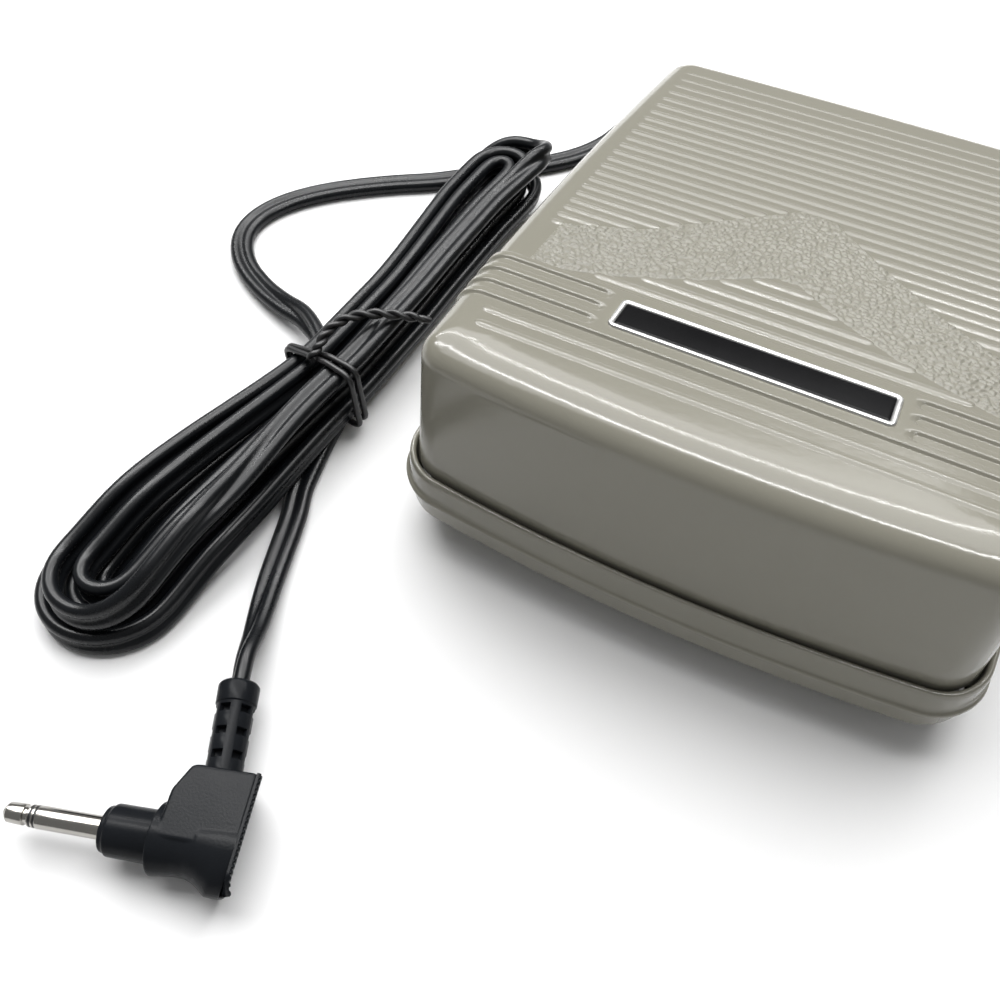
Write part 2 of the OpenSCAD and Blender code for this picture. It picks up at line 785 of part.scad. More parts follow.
module pot_wires() {
    top = board_z + board_t;
    tab_y = pinion_y + pot_d / 2 + 3;
    near = board_y - board_l / 2 + 3;
    color("OrangeRed")
        union() {
            for (k = [-1:1])
                wire([[pot_x + 3.3, tab_y, pinion_z + 3 * k], [pot_x + 3.3, tab_y + 3, pinion_z + 3 * k],
                    [pot_x + 3.3 + 1.5 * k, tab_y + 8, pinion_z + 1.5 * k],
                    [pot_x + 3.3 + 3 * k, near - 3, top + 3.5], [pot_x + 3.3 + 3 * k, near - 0.5, top + 2.4],
                    [pot_x + 3.3 + 3 * k, near, top]], 0.6);
        }
}
gland_out_y = half_l - tub_inset + 0.2;
gland_nose = 3.4;
module cord_gland() {
    color("Black")
        union() {
            translate([exit_x - gland_w / 2 + 0.1, gland_in_y, exit_z - gland_h / 2 + 0.1])
                cube([gland_w - 0.2, gland_out_y - gland_in_y + 1, gland_h - 0.2]);
            translate([exit_x - gland_w / 2 - 1.4, gland_out_y, exit_z - gland_h / 2 - 1])
                cube([gland_w + 2.8, 1.4, gland_h + 0.9]);
            translate([exit_x - cord_w / 2 - 1, gland_out_y + 1, exit_z - gland_h / 2 + 0.1])
                cube([cord_w + 2, gland_nose - 1, gland_h - 0.2]);
        }
}

// Cord outside the base. Each route point is [x, y, z, roll], roll 0 flat and 90 on edge.
lie_z = cord_t / 2 + 0.05;
// Hank: loops drawn in at the waist. t counts turns: 0 left waist, 0.25 lower end,
// 0.5 right waist, 0.75 upper end.
hank_x = -81;
hank_y = -44;
hank_lean = 0.054;
hank_shift = 2.8;
hank_low = 71;
hank_high = 84.5;
hank_low_r = 13.8;
hank_high_r = 12.8;
hank_waist = 9.8;
hank_turns = 5;
strand_step = cord_t + 0.8;
layer_step = cord_w + 0.5;
lead_room = 3.8;
rings_per_loop = 24;
function smooth(t) = let (c = max(0, min(1, t))) c * c * (3 - 2 * c);
function bump(t) = abs(t) < 1 ? pow(cos(90 * t), 2) : 0;
// The last loop lies flat on top, moved in over the others, then drops outside them.
function lane(t) =
    let (plain = max(0, min(t, hank_turns - t) + 0.2 * bump((t - 2.5) / 0.25)))
    t < 4.3 ? plain
    : t < 4.6 ? plain + 0.55 * smooth((t - 4.4) / 0.08)
    : lerp(hank_turns - t + 0.55, -0.17, smooth((t - 4.6) / 0.12));
function half_high(roll) = norm([cord_w / 2 * sin(roll), cord_t / 2 * cos(roll)]);
function half_broad(roll) = half_high(90 - roll);
function hank_lift(y) = lead_room * smooth((y + 104) / 22) + 1.6 * bump((y + 48) / 34);
// Place along one quarter: half the steps on the straight, half on the arc. Gives [across, along].
function quarter(q, wide, waist, reach) =
    let (straight = reach - 13, a = 90 * (q - 0.5) / 0.5)
    q < 0.5 ? [lerp(waist, wide, smooth(q / 0.5)), straight * q / 0.5]
        : [wide * cos(a), straight + wide * sin(a)];
function hank_point(t) =
    let (ph = t - floor(t), k = floor(ph / 0.25), f = ph / 0.25 - k,
        q = k % 2 == 0 ? f : 1 - f, in = strand_step * lane(t),
        c = quarter(q, (k < 2 ? hank_low_r : hank_high_r) - in, hank_waist - in, k < 2 ? hank_low : hank_high),
        side = (k == 0 || k == 3) ? -1 : 1,
        u = lerp(side * c[0], 9.5, smooth((t - 4.9) / 0.14)),
        y = hank_y + (k < 2 ? -c[1] : c[1]),
        climb = smooth((t - 2.375) / 0.2) + smooth((t - 4.25) / 0.13), down = smooth((t - 4.74) / 0.2),
        flat = smooth((t - 4.38) / 0.08) - smooth((t - 4.6) / 0.1) + smooth((t - 4.86) / 0.07),
        roll = 90 * (1 - flat))
    [hank_x + hank_lean * (y - hank_y) + hank_shift * bump((y - hank_y) / 50) + u, y,
        0.05 + half_high(roll) + (layer_step * climb + hank_lift(y)) * (1 - down), roll];
lead_start = [exit_x, gland_out_y + gland_nose, exit_z, 0];
hank_start = hank_point(0);
hank_dir = unit(hank_point(1 / rings_per_loop) - hank_start);
lead_route = concat([lead_start, lead_start + [0, cord_w, 0, 0]],
    [[-22, 74, 3.6, 0], [-24, 79, 2, 0], [-28.5, 84, 1.4, 0], [-35, 86.5, 1.4, 0], [-42.5, 86, 1.4, 0],
     [-50, 82, 1.4, 0], [-56, 75, 1.4, 0], [-59, 66, 1.4, 0], [-61, 57, 1.4, 0], [-66, 48, 1.4, 0],
     [-74, 39.5, 1.4, 0], [-83, 31, 1.4, 0], [-92, 23, 1.4, 0], [-101, 16, 1.4, 0], [-111, 9, 1.4, 0],
     [-119, 2, 1.4, 0], [-123, -5, 1.4, 0], [-122, -13, 1.5, 0], [-116, -19, 2, 0], [-108, -23, 3, 10],
     [-100, -26, 4.4, 35], [-93, -29, 6, 65]],
    [hank_start - cord_w * hank_dir, hank_start]);

hank_last = round(hank_turns * rings_per_loop) + 1;
hank_route = [for (i = [0:hank_last]) hank_point(i / rings_per_loop)];
// Least gap between strands, measured from each ring to the segments at least a third of a loop away
function gap_to(p, a, b) =
    let (ab = [b.x - a.x, b.y - a.y], ap = [p.x - a.x, p.y - a.y],
        t = max(0, min(1, (ap * ab) / (ab * ab))), z = lerp(a.z, b.z, t), roll = lerp(a[3], b[3], t))
    max(norm(ap - t * ab) - half_broad(p[3]) - half_broad(roll), abs(p.z - z) - half_high(p[3]) - half_high(roll));
hank_gap = min([for (i = [0:hank_last], j = [i + 8:hank_last - 1])
    gap_to(hank_route[i], hank_route[j], hank_route[j + 1])]);
echo(hank_gap = hank_gap);

// Plug: its own frame has x along the jack away from the tip, and y towards the strain relief.
plug_at = [-60.3, -135.3, 5.9];
plug_turn = 17.6;
relief_len = 15;
relief_x = 15.7;
relief_lean = 8.3;
body_top = 10.4;
function plug_point(x, y) = plug_at + [x * cos(plug_turn) - y * sin(plug_turn), x * sin(plug_turn) + y * cos(plug_turn), 0];
relief_end = plug_point(relief_x - relief_len * sin(relief_lean), body_top + relief_len * cos(relief_lean));
relief_dir = unit(relief_end - plug_point(relief_x, body_top));
hank_end = hank_route[hank_last];
tail_dir = unit(hank_end - hank_route[hank_last - 1]);
tail_route = concat([hank_end, hank_end + cord_w * tail_dir],
    [[-69, -74, 1.4, 0], [-67.3, -80.5, 1.4, 0], [-65, -87.5, 1.4, 0], [-62.2, -94, 1.8, 0],
     [-59.4, -99, 3, 0]],
    [concat(relief_end + relief_dir * cord_w, 0), concat(relief_end, 0)]);
module flat_cord(route, n, start) {
    swept([for (p = route) [p.x, p.y, p.z]], cord_w / 2 / cos(start), cord_t / 2 / (n == 8 ? cos(start) : cos(30)),
        [for (p = route) p[3]], n, start);
}
module cord_lead() {
    color("Black")
        flat_cord(lead_route, 8, 22.5);
}
module cord_hank() {
    color("Black")
        flat_cord(hank_route, 6, 0);
}
module cord_tail() {
    color("Black")
        flat_cord(tail_route, 8, 22.5);
}

// Tie: a wire ring round the waist with its ends twisted together
tie_y = -48.5;
tie_r = 0.6;
module cord_tie() {
    c = hank_x + hank_shift + 0.3;
    w = hank_waist + cord_t / 2 + tie_r + 1;
    low = hank_lift(tie_y) - tie_r - 0.15;
    high = hank_lift(tie_y) + cord_w + layer_step + cord_t + tie_r + 1.2;
    mid = (low + high) / 2;
    hh = (high - low) / 2;
    rc = 2.4;
    ring = [for (q = [0:3], k = [0:4]) let (a = 90 * q + 22.5 * k,
        x = (q == 0 || q == 3 ? 1 : -1) * (w - rc) + rc * cos(a))
        [c + x, tie_y - 0.09 * x, mid + (q < 2 ? 1 : -1) * (hh - rc) + rc * sin(a)]];
    color("Black")
        union() {
            closed_wire(ring, tie_r);
            wire([[c + 1, tie_y + 0.5, high + 0.2], [c + 2, tie_y + 5, high + 0.9], [c + 4, tie_y + 11, high + 1.2],
                [c + 7, tie_y + 17, high + 1], [c + 10, tie_y + 21, high - 0.2], [c + 13, tie_y + 24, high - 2]], 0.9);
        }
}
module closed_wire(ring, r) {
    n = len(ring);
    m = 6;
    pts = [for (i = [0:n - 1]) let (t = unit(ring[(i + 1) % n] - ring[(i + n - 1) % n]),
        s = unit(cross([0, 1, 0], t)), u = cross(t, s))
        each [for (k = [0:m - 1]) ring[i] + r * (s * cos(360 * k / m) + u * sin(360 * k / m))]];
    polyhedron(points = pts, faces = [for (i = [0:n - 1], k = [0:m - 1])
        let (a = i * m + k, b = i * m + (k + 1) % m, c = ((i + 1) % n) * m + k, d = ((i + 1) % n) * m + (k + 1) % m)
        each [[a, c, b], [b, c, d]]]);
}

module in_plug() {
    translate(plug_at)
        rotate([0, 0, plug_turn])
            children();
}
module about_jack() {
    in_plug()
        rotate([0, 90, 0])
            rotate_extrude()
                children();
}
// Strain relief: rings joined by webs, cut through by rows of windows
relief_r = 3.4;
module plug_strain_relief() {
    color("Black")
        in_plug()
            difference() {
                translate([relief_x, body_top, 0])
                    rotate([0, 0, relief_lean])
                        rotate([-90, 0, 0])
                            difference() {
                                union() {
                                    translate([0, 0, -1])
                                        cylinder(r1 = relief_r - 0.3, r2 = relief_r, h = relief_len + 0.2);
                                    translate([0, 0, relief_len - 4.2])
                                        cylinder(r = relief_r + 0.3, h = 4.2);
                                }
                                for (k = [0:2], s = [-1, 1]) {
                                    translate([s * 3.1 - 1.1, -5, 1.6 + k * 3.7])
                                        cube([2.2, 10, 1.5]);
                                    translate([s * 3.4 - 1, -1.3, 1.6 + k * 3.7])
                                        cube([2, 2.6, 1.5]);
                                }
                            }
                translate([0, body_top - 5, -10])
                    cube([30, 5, 20]);
            }
}
module plug_body() {
    h = plug_t - 0.8;
    color("Black")
        difference() {
            union() {
                about_jack()
                    polygon([[0, 0], [barrel_d / 2 - 0.4, 0], [barrel_d / 2 - 0.4, 0.7], [barrel_d / 2, 0.9],
                        [barrel_d / 2, 8.2], [5.4, 8.2], [5.2, 10.5], [4.9, 13], [5.1, 15.5], [5.5, 18],
                        [5.7, 21.5], [0, 21.5]]);
                in_plug()
                    translate([0, 0, -h / 2])
                        linear_extrude(h)
                            polygon([[8.2, 0], [8.2, 2], [9.8, 7], [12, body_top - 0.2], [13, body_top],
                                [21.5, body_top], [21.5, 0]]);
            }
            in_plug()
                rotate([0, -90, 0])
                    translate([0, 0, -4])
                        cylinder(d = jack_d - 1, h = 5);
        }
}
// Grip plate with a serrated back
module plug_grip() {
    low = -7;
    n = 16;
    step = (body_top + 0.2 - low) / n;
    color("Black")
        in_plug()
            translate([21.5, 0, -plug_t / 2 - 0.2])
                linear_extrude(plug_t + 0.4)
                    polygon(concat([[0, body_top + 0.2], [0, low + 0.8], [0.7, low]],
                        [for (k = [0:n - 1]) each [[1.7, low + step * (k + 0.15)], [2.3, low + step * (k + 0.35)],
                            [2.3, low + step * (k + 0.75)], [1.7, low + step * (k + 0.95)]]],
                        [[1.7, body_top + 0.2]]));
}
ring_at = 10.9;
ring_t = 1.1;
module about_tip() {
    in_plug()
        rotate([0, -90, 0])
            rotate_extrude()
                children();
}
module jack_sleeve() {
    r = jack_d / 2;
    color("Silver")
        about_tip()
            polygon([[0, -4], [r - 0.5, -4], [r - 0.5, 0], [r, 0], [r, ring_at], [0, ring_at]]);
}
module jack_insulator() {
    r = jack_d / 2;
    color("Black")
        about_tip()
            polygon([[0, ring_at], [r - 0.35, ring_at], [r - 0.35, ring_at + ring_t], [0, ring_at + ring_t]]);
}
module jack_tip() {
    r = jack_d / 2;
    z = ring_at + ring_t;
    color("Silver")
        about_tip()
            polygon([[0, z], [r - 0.45, z], [r - 0.45, z + 0.3], [r - 0.15, z + 0.45], [r - 0.2, jack_len - 1],
                [r - 0.5, jack_len - 0.6], [r - 0.95, jack_len - 0.5], [r - 1.2, jack_len], [0, jack_len]]);
}

base_housing();
pedal_cover();
badge_frame();
badge_panel();
hinge_pin_left();
hinge_pin_right();
return_spring_left();
return_spring_right();
foot_front_left();
foot_front_right();
foot_rear_left();
foot_rear_right();
stop_pad_left();
stop_pad_right();
drive_rack();
rack_screws();
pinion();
pot_shaft();
pot_body();
pot_bracket();
pot_nut();
bracket_screws();
circuit_board();
board_screws();
filter_capacitor();
cord_clamp();
clamp_screws();
core_wires();
pot_wires();
cord_gland();
cord_lead();
cord_hank();
cord_tail();
cord_tie();
plug_strain_relief();
plug_body();
plug_grip();
jack_sleeve();
jack_insulator();
jack_tip();
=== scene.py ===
"""Sewing machine pedal: moulded cover and base, badge, folded flat cord, angled jack plug, and its studio."""

import math

import bmesh
import bpy
import numpy as np
from mathutils import Matrix, Vector, noise


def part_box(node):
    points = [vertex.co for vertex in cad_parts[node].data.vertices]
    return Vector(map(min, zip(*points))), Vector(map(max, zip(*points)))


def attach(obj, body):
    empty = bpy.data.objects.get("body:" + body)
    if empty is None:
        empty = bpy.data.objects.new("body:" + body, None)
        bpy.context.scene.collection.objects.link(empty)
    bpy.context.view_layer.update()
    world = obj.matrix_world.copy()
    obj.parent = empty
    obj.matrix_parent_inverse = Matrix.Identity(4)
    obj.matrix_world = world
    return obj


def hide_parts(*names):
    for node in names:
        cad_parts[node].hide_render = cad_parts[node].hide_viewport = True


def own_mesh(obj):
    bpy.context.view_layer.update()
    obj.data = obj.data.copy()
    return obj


bl_info = {
    "name": "Sewing Machine Pedal",
    "version": (1, 0, 0),
    "blender": (4, 5, 0),
    "location": "View3D > Sidebar > Pedal",
    "description": "Builds a hinged sewing machine pedal with its cord and jack plug",
    "category": "Object",
}

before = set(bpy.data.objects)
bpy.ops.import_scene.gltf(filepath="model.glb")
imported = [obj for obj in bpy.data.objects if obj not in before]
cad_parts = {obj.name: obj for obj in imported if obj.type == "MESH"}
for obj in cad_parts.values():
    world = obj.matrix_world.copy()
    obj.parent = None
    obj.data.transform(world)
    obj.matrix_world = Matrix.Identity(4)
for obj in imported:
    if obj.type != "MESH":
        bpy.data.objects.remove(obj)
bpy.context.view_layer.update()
MM = 0.001


# ---------------------------------------------------------------- sizes

class PedalSizes(bpy.types.PropertyGroup):
    """Outline and tread of the pedal, in millimetres."""

    width: bpy.props.FloatProperty(name="Width", description="Across the base lip", default=106.0)
    length: bpy.props.FloatProperty(name="Length", description="Along the base lip", default=136.0)
    corner: bpy.props.FloatProperty(name="Corner radius", description="Corners seen from above", default=9.0)
    front_bow: bpy.props.FloatProperty(name="Front bow", description="Bulge of the badge end", default=3.4)
    side_bow: bpy.props.FloatProperty(name="Side bow", description="Bulge of each side", default=1.6)
    rear_bow: bpy.props.FloatProperty(name="Rear bow", description="Bulge of the hinge end", default=0.6)
    rim_top: bpy.props.FloatProperty(name="Rim height", description="Top of the base rim", default=18.2)
    lip: bpy.props.FloatProperty(name="Lip height", description="Widest line of the rim", default=12.4)
    tall: bpy.props.FloatProperty(name="Tall end", description="Tread height at the badge end", default=48.4)
    slope: bpy.props.FloatProperty(
        name="Slope", description="Fall of the tread towards the hinge", subtype="ANGLE", default=math.radians(10))
    edge: bpy.props.FloatProperty(name="Edge radius", description="Rounding round the tread", default=5.0)
    draft: bpy.props.FloatProperty(
        name="Draft", description="Lean of the cover walls", subtype="ANGLE", default=math.radians(4.5))
    rib_width: bpy.props.FloatProperty(name="Rib width", description="Fine tread ribs", default=2.5)
    rib_height: bpy.props.FloatProperty(name="Rib height", description="Fine tread ribs", default=0.24)


class CordSizes(bpy.types.PropertyGroup):
    """The flat cord, in millimetres."""

    width: bpy.props.FloatProperty(name="Cord width", description="Across both cores", default=5.2)
    thick: bpy.props.FloatProperty(name="Cord thickness", description="Through one core", default=2.7)
    tie_wire: bpy.props.FloatProperty(name="Tie wire", description="Radius of the tie's wire", default=0.6)


class FinishColours(bpy.types.PropertyGroup):
    """Main colours, as linear RGB."""

    shell: bpy.props.FloatVectorProperty(
        name="Shell", description="Warm grey moulding", subtype="COLOR", default=(0.192, 0.185, 0.152))
    sheath: bpy.props.FloatVectorProperty(
        name="Sheath", description="Cord and tie", subtype="COLOR", default=(0.0046, 0.0053, 0.0064))
    plug: bpy.props.FloatVectorProperty(
        name="Plug", description="Moulded plug", subtype="COLOR", default=(0.0085, 0.0095, 0.0112))


def sizes():
    return bpy.context.scene.pedal_sizes


def cord_sizes():
    return bpy.context.scene.pedal_cord


def colours():
    return bpy.context.scene.pedal_colours


# ---------------------------------------------------------------- shader maths

class Val:
    """A socket in a material that takes part in arithmetic."""

    def __init__(self, shade, socket):
        self.shade, self.socket = shade, socket

    def math(self, operation, *values):
        return self.shade.add("Math", dict(enumerate(values)), operation=operation)[0]

    def __add__(self, other):
        return self.math("ADD", self, other)

    def __mul__(self, other):
        return self.math("MULTIPLY", self, other)

    def __sub__(self, other):
        return self.math("SUBTRACT", self, other)

    def __rsub__(self, other):
        return self.math("SUBTRACT", other, self)

    __radd__, __rmul__ = __add__, __mul__

    def abs(self):
        return self.math("ABSOLUTE", self)

    def fract(self):
        return self.math("FRACT", self)

    def step(self, low, high):
        """0 below low, 1 above high, smooth between."""
        return self.shade.add("MapRange", {"Value": self, "From Min": low, "From Max": high},
                              interpolation_type="SMOOTHSTEP")["Result"]


class Shade:
    """A material under construction."""

    def __init__(self, name):
        self.material = bpy.data.materials.new(name)
        self.material.use_nodes = True
        self.tree = self.material.node_tree
        self.surface = self.tree.nodes["Principled BSDF"]
        self.place = self.add("TexCoord", {})["Object"]

    def add(self, kind, values, **settings):
        node = self.tree.nodes.new("ShaderNode" + kind)
        for key, value in settings.items():
            setattr(node, key, value)
        for key, value in values.items():
            self.feed(node.inputs[key], value)
        return Outs(self, node)

    def feed(self, socket, value):
        if isinstance(value, Val):
            self.tree.links.new(value.socket, socket)
        else:
            socket.default_value = value

    def set(self, **values):
        for key, value in values.items():
            name = key.replace("_", " ").title().replace("Ior", "IOR")
            self.feed(self.surface.inputs[name], value)
        return self

    def noise(self, scale, detail=2.0, rough=0.5, stretch=None):
        where = self.add("Mapping", {"Vector": self.place, "Scale": stretch})["Vector"] if stretch else self.place
        values = {"Vector": where, "Scale": scale, "Detail": detail, "Roughness": rough}
        return self.add("TexNoise", values)["Fac"]

    def mix(self, factor, a, b):
        a, b = ((*c, 1.0) if isinstance(c, tuple) and len(c) == 3 else c for c in (a, b))
        return self.add("Mix", {0: factor, 6: a, 7: b}, data_type="RGBA")[2]

    def bump(self, height, depth, strength=1.0, under=None):
        values = {"Height": height, "Distance": depth, "Strength": strength}
        if under:
            values["Normal"] = under
        return self.add("Bump", values)["Normal"]


class Outs:
    """A node's outputs by name or place."""

    def __init__(self, shade, node):
        self.shade, self.node = shade, node

    def __getitem__(self, key):
        return Val(self.shade, self.node.outputs[key])


def scaled(colour, by):
    """A colour made lighter or darker."""
    return tuple(c * by for c in colour)


def moulded_shell(name, grain=False):
    """Warm grey plastic: glossy with a slight orange peel, or finely grained."""
    s = Shade(name)
    base = colours().shell
    speck = s.noise(1500, 1)
    tone = (s.noise(14, 3) - 0.5) * 0.35 + (speck - 0.5) * 0.12 + 0.5
    normal = s.bump(s.noise(55), 0.0002, 0.4)
    if grain:
        normal = s.bump(s.noise(1900, 3, 0.6), 0.00012, 0.6, normal)
        rough = 0.32 + (speck - 0.5) * 0.1
    else:
        normal = s.bump(s.noise(900), 0.00006, 0.25, normal)
        rough = 0.13 + (s.noise(30, 4) - 0.5) * 0.1
    return s.set(base_color=s.mix(tone, scaled(base, 0.94), scaled(base, 1.06)), roughness=rough, normal=normal,
                 ior=1.5, specular_ior_level=0.27).material


def badge_silver():
    """Brushed metal of the badge's rim."""
    s = Shade("badge_silver")
    brush = s.noise(500, stretch=(0.12, 1.0, 1.0))
    return s.set(base_color=s.mix(brush, (0.46, 0.46, 0.45), (0.6, 0.6, 0.59)), metallic=0.9,
                 roughness=0.26 + brush * 0.12, normal=s.bump(brush, 0.00002, 0.4)).material


def badge_black():
    """Dark gloss of the badge's bare panel."""
    s = Shade("badge_black")
    haze = s.noise(60, 3)
    return s.set(base_color=s.mix(haze, (0.0025, 0.0025, 0.0028), (0.005, 0.005, 0.0055)), specular_ior_level=0.06,
                 roughness=0.16 + haze * 0.12, normal=s.bump(s.noise(300, 1), 0.00003, 0.2)).material


def sheath():
    """Black sheath of the cord, a little dusty."""
    s = Shade("cord_sheath")
    base = colours().sheath
    dust = s.noise(90, 4, 0.6)
    return s.set(base_color=s.mix(dust, scaled(base, 0.75), scaled(base, 1.4)), ior=1.5, specular_ior_level=0.22,
                 roughness=0.2 + dust * 0.12 + s.noise(1300) * 0.05,
                 normal=s.bump(s.noise(380, 3), 0.00008, 0.35)).material


def plug_moulding():
    """Soft black moulding of the plug."""
    s = Shade("plug_moulding")
    base = colours().plug
    mottled = s.noise(120, 3)
    waves = s.bump(s.noise(150), 0.00012, 0.3)
    return s.set(base_color=s.mix(mottled, scaled(base, 0.8), scaled(base, 1.25)), specular_ior_level=0.05,
                 roughness=0.2 + mottled * 0.1, normal=s.bump(s.noise(2600), 0.00004, 0.4, waves)).material


def metal(name, colour, rough, scratch, scale=700):
    """Bare or plated metal with fine scratches."""
    s = Shade(name)
    marks = s.noise(scale, 4, 0.6)
    return s.set(base_color=s.mix(s.noise(60), scaled(colour, 0.9), colour), metallic=1.0,
                 roughness=rough + marks * scratch, normal=s.bump(marks, 0.00001, 0.15)).material


def soft(name, colour, rough, scale=900, depth=0.00006):
    """Plastic or rubber with a fine surface."""
    s = Shade(name)
    fine = s.noise(scale)
    return s.set(base_color=s.mix(s.noise(80, 4), scaled(colour, 0.85), scaled(colour, 1.15)), ior=1.45,
                 roughness=rough + (fine - 0.5) * 0.1, normal=s.bump(fine, depth, 0.5)).material


def lacquered_board():
    """Green circuit board with raised tracks."""
    s = Shade("lacquered_board")
    place = s.add("SeparateXYZ", {"Vector": s.place})
    lanes_x, lanes_y = (((place[axis] * 400).fract() - 0.5).abs() for axis in "XY")
    blocks = s.noise(130, 0).step(0.49, 0.51)
    track = (lanes_x * blocks + lanes_y * (1 - blocks)).step(0.3, 0.34)
    return s.set(base_color=s.mix(track, (0.03, 0.16, 0.07), (0.07, 0.3, 0.12)),
                 roughness=0.25 + s.noise(500) * 0.1, normal=s.bump(track, 0.00004, 0.6)).material


def capacitor_sleeve():
    """Dark sleeve with a pale stripe, under a bright lid."""
    s = Shade("capacitor_sleeve")
    low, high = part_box("filter_capacitor")
    place = s.add("SeparateXYZ", {"Vector": s.place})
    plain = (place["X"] - (low.x + 0.001)).step(0.0, 0.0001)
    lid = (place["Z"] - (high.z - 0.0006)).step(0.0, 0.0001)
    side = s.mix(plain, (0.55, 0.56, 0.55), (0.012, 0.014, 0.045))
    return s.set(base_color=s.mix(lid, side, (0.6, 0.6, 0.6)), metallic=lid,
                 roughness=0.25 + s.noise(300) * 0.15).material


# ---------------------------------------------------------------- mesh helpers

def piece(name, part, material, sharp):
    """A mesh object at the origin from a (verts, faces) part in millimetres."""
    mesh = bpy.data.meshes.new(name)
    mesh.from_pydata([tuple(c * MM for c in v) for v in part[0]], [], part[1])
    return dressed(name, mesh, material, sharp)


def dressed(name, mesh, material, sharp):
    """Links the mesh as an object with smooth faces, and sharp edges over an angle in degrees."""
    mesh.validate()
    obj = bpy.data.objects.new(name, mesh)
    bpy.context.scene.collection.objects.link(obj)
    paint(mesh, material)
    mesh.shade_smooth()
    if sharp:
        mesh.set_sharp_from_angle(angle=math.radians(sharp))
    return obj


def paint(mesh, material):
    mesh.materials.clear()
    mesh.materials.append(material)


def seat(obj, body, slot, *nodes):
    """Gives a piece its body and hides the solids it stands for. The slot is not used."""
    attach(obj, body)
    if nodes:
        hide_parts(*nodes)


def stacked(rings, start=True, end=True):
    """Quads between rings of equal counts, with end caps. Rings turn anticlockwise about the way they stack."""
    n = len(rings[0])
    faces = [tuple(range(n - 1, -1, -1))] if start else []
    for k in range(len(rings) - 1):
        a, b = k * n, (k + 1) * n
        faces += [(a + i, a + (i + 1) % n, b + (i + 1) % n, b + i) for i in range(n)]
    if end:
        faces.append(tuple(range((len(rings) - 1) * n, len(rings) * n)))
    return [tuple(p) for ring in rings for p in ring], faces


def join_parts(parts):
    """Several (verts, faces) as one."""
    verts, faces = [], []
    for v, f in parts:
        faces += [tuple(i + len(verts) for i in face) for face in f]
        verts += v
    return verts, faces


def around(sides):
    return [2 * math.pi * i / sides for i in range(sides)]


def rod(a, b, radius, sides=32, chamfer=0.0):
    """A round bar from a to b with chamfered ends."""
    a, b = Vector(a), Vector(b)
    length = (b - a).length
    way = (b - a).normalized()
    across = way.cross(Vector((0, 0, 1)) if abs(way.z) < 0.9 else Vector((1, 0, 0))).normalized()
    up = way.cross(across)
    stops = [(0, radius), (length, radius)]
    if chamfer:
        stops = [(0, radius - chamfer), (chamfer, radius), (length - chamfer, radius), (length, radius - chamfer)]
    return stacked([[a + way * d + (across * math.cos(w) + up * math.sin(w)) * r for w in around(sides)]
                    for d, r in stops])


def post(x, y, low, high, radius, sides=32, chamfer=0.0):
    """An upright round bar."""
    return rod((x, y, low), (x, y, high), radius, sides, chamfer)


def slab(low, high):
    (x0, y0, z0), (x1, y1, z1) = low, high
    return stacked([[(x0, y0, z), (x1, y0, z), (x1, y1, z), (x0, y1, z)] for z in (z0, z1)])


def softened(points, radius, steps, closed=False):
    """A polyline with its corners rounded."""
    points = [np.array(p, float) for p in points]
    out = []
    for i, p in enumerate(points):
        if not closed and i in (0, len(points) - 1):
            out.append(tuple(p))
            continue
        a, b = points[i - 1] - p, points[(i + 1) % len(points)] - p
        la, lb = np.linalg.norm(a), np.linalg.norm(b)
        r = min(radius, la * 0.45, lb * 0.45)
        start, end = p + a / la * r, p + b / lb * r
        out += [tuple((1 - t) ** 2 * start + 2 * t * (1 - t) * p + t * t * end) for t in np.linspace(0, 1, steps)]
    return out


def lathe(profile, sides):
    """A form turned about +X from (along, radius) pairs."""
    return stacked([[(a, r * math.cos(w), r * math.sin(w)) for w in around(sides)] for a, r in profile])


def moved(part, matrix):
    verts, faces = part
    return [tuple(matrix @ Vector(v)) for v in verts], faces


def applied(obj):
    """The evaluated mesh in place of the object's modifiers."""
    evaluated = obj.evaluated_get(bpy.context.evaluated_depsgraph_get())
    mesh = bpy.data.meshes.new_from_object(evaluated)
    obj.modifiers.clear()
    obj.data = mesh


def altered(obj, *steps):
    """Runs modifiers, each given as (kind, settings), and keeps the result."""
    for kind, settings in steps:
        modifier = obj.modifiers.new(kind.lower(), kind)
        for key, value in settings.items():
            setattr(modifier, key, value)
    applied(obj)
    obj.data.shade_smooth()


# ---------------------------------------------------------------- pedal forms

def lerp(a, b, t):
    return a + (b - a) * t


# Insets from the outline, in millimetres
RIM_IN, COVER_IN, TUB_IN = 2.1, 2.6, 7.45
# Heights: foot, tub floor, shelf under the rim, channel inside it and the cover's lower edge
FOOT_Z, FLOOR_Z, SHELF_Z, CHANNEL_Z, COVER_Z = 1.2, 3.2, 6.6, 8.6, 17.0
CORNER_STEPS, SIDE_STEPS, EDGE_STEPS = 14, 22, 18
HINGE_Y, HINGE_Z, LUG_R = 58.0, 13.5, 3.5
SPRING_X, SPRING_Y, COIL_R = 28.0, -30.0, 4.5
# The stops' place, and the cover's travel in degrees
STOP_X, STOP_Y, TRAVEL = 37.0, -50.0, 3.2
BADGE_Y, BADGE_W, BADGE_D, BADGE_R = -37.3, 45.6, 7.9, 1.2
FRONT_EASE = 1.65
RIB_COUNT, RIB_START, RIB_END, RIB_PITCH, RIB_GROWTH, RIB_REACH = 24, -17.5, 58.0, 2.75, 0.054, 45.0
SHORT_RIBS, SHORT_START, SHORT_PITCH = 5, BADGE_Y + 5.2, 3.4
# How far raised relief starts under the tread, and how far a rib's end runs under the grained band
SUNK, TUCK = 0.03, 0.4
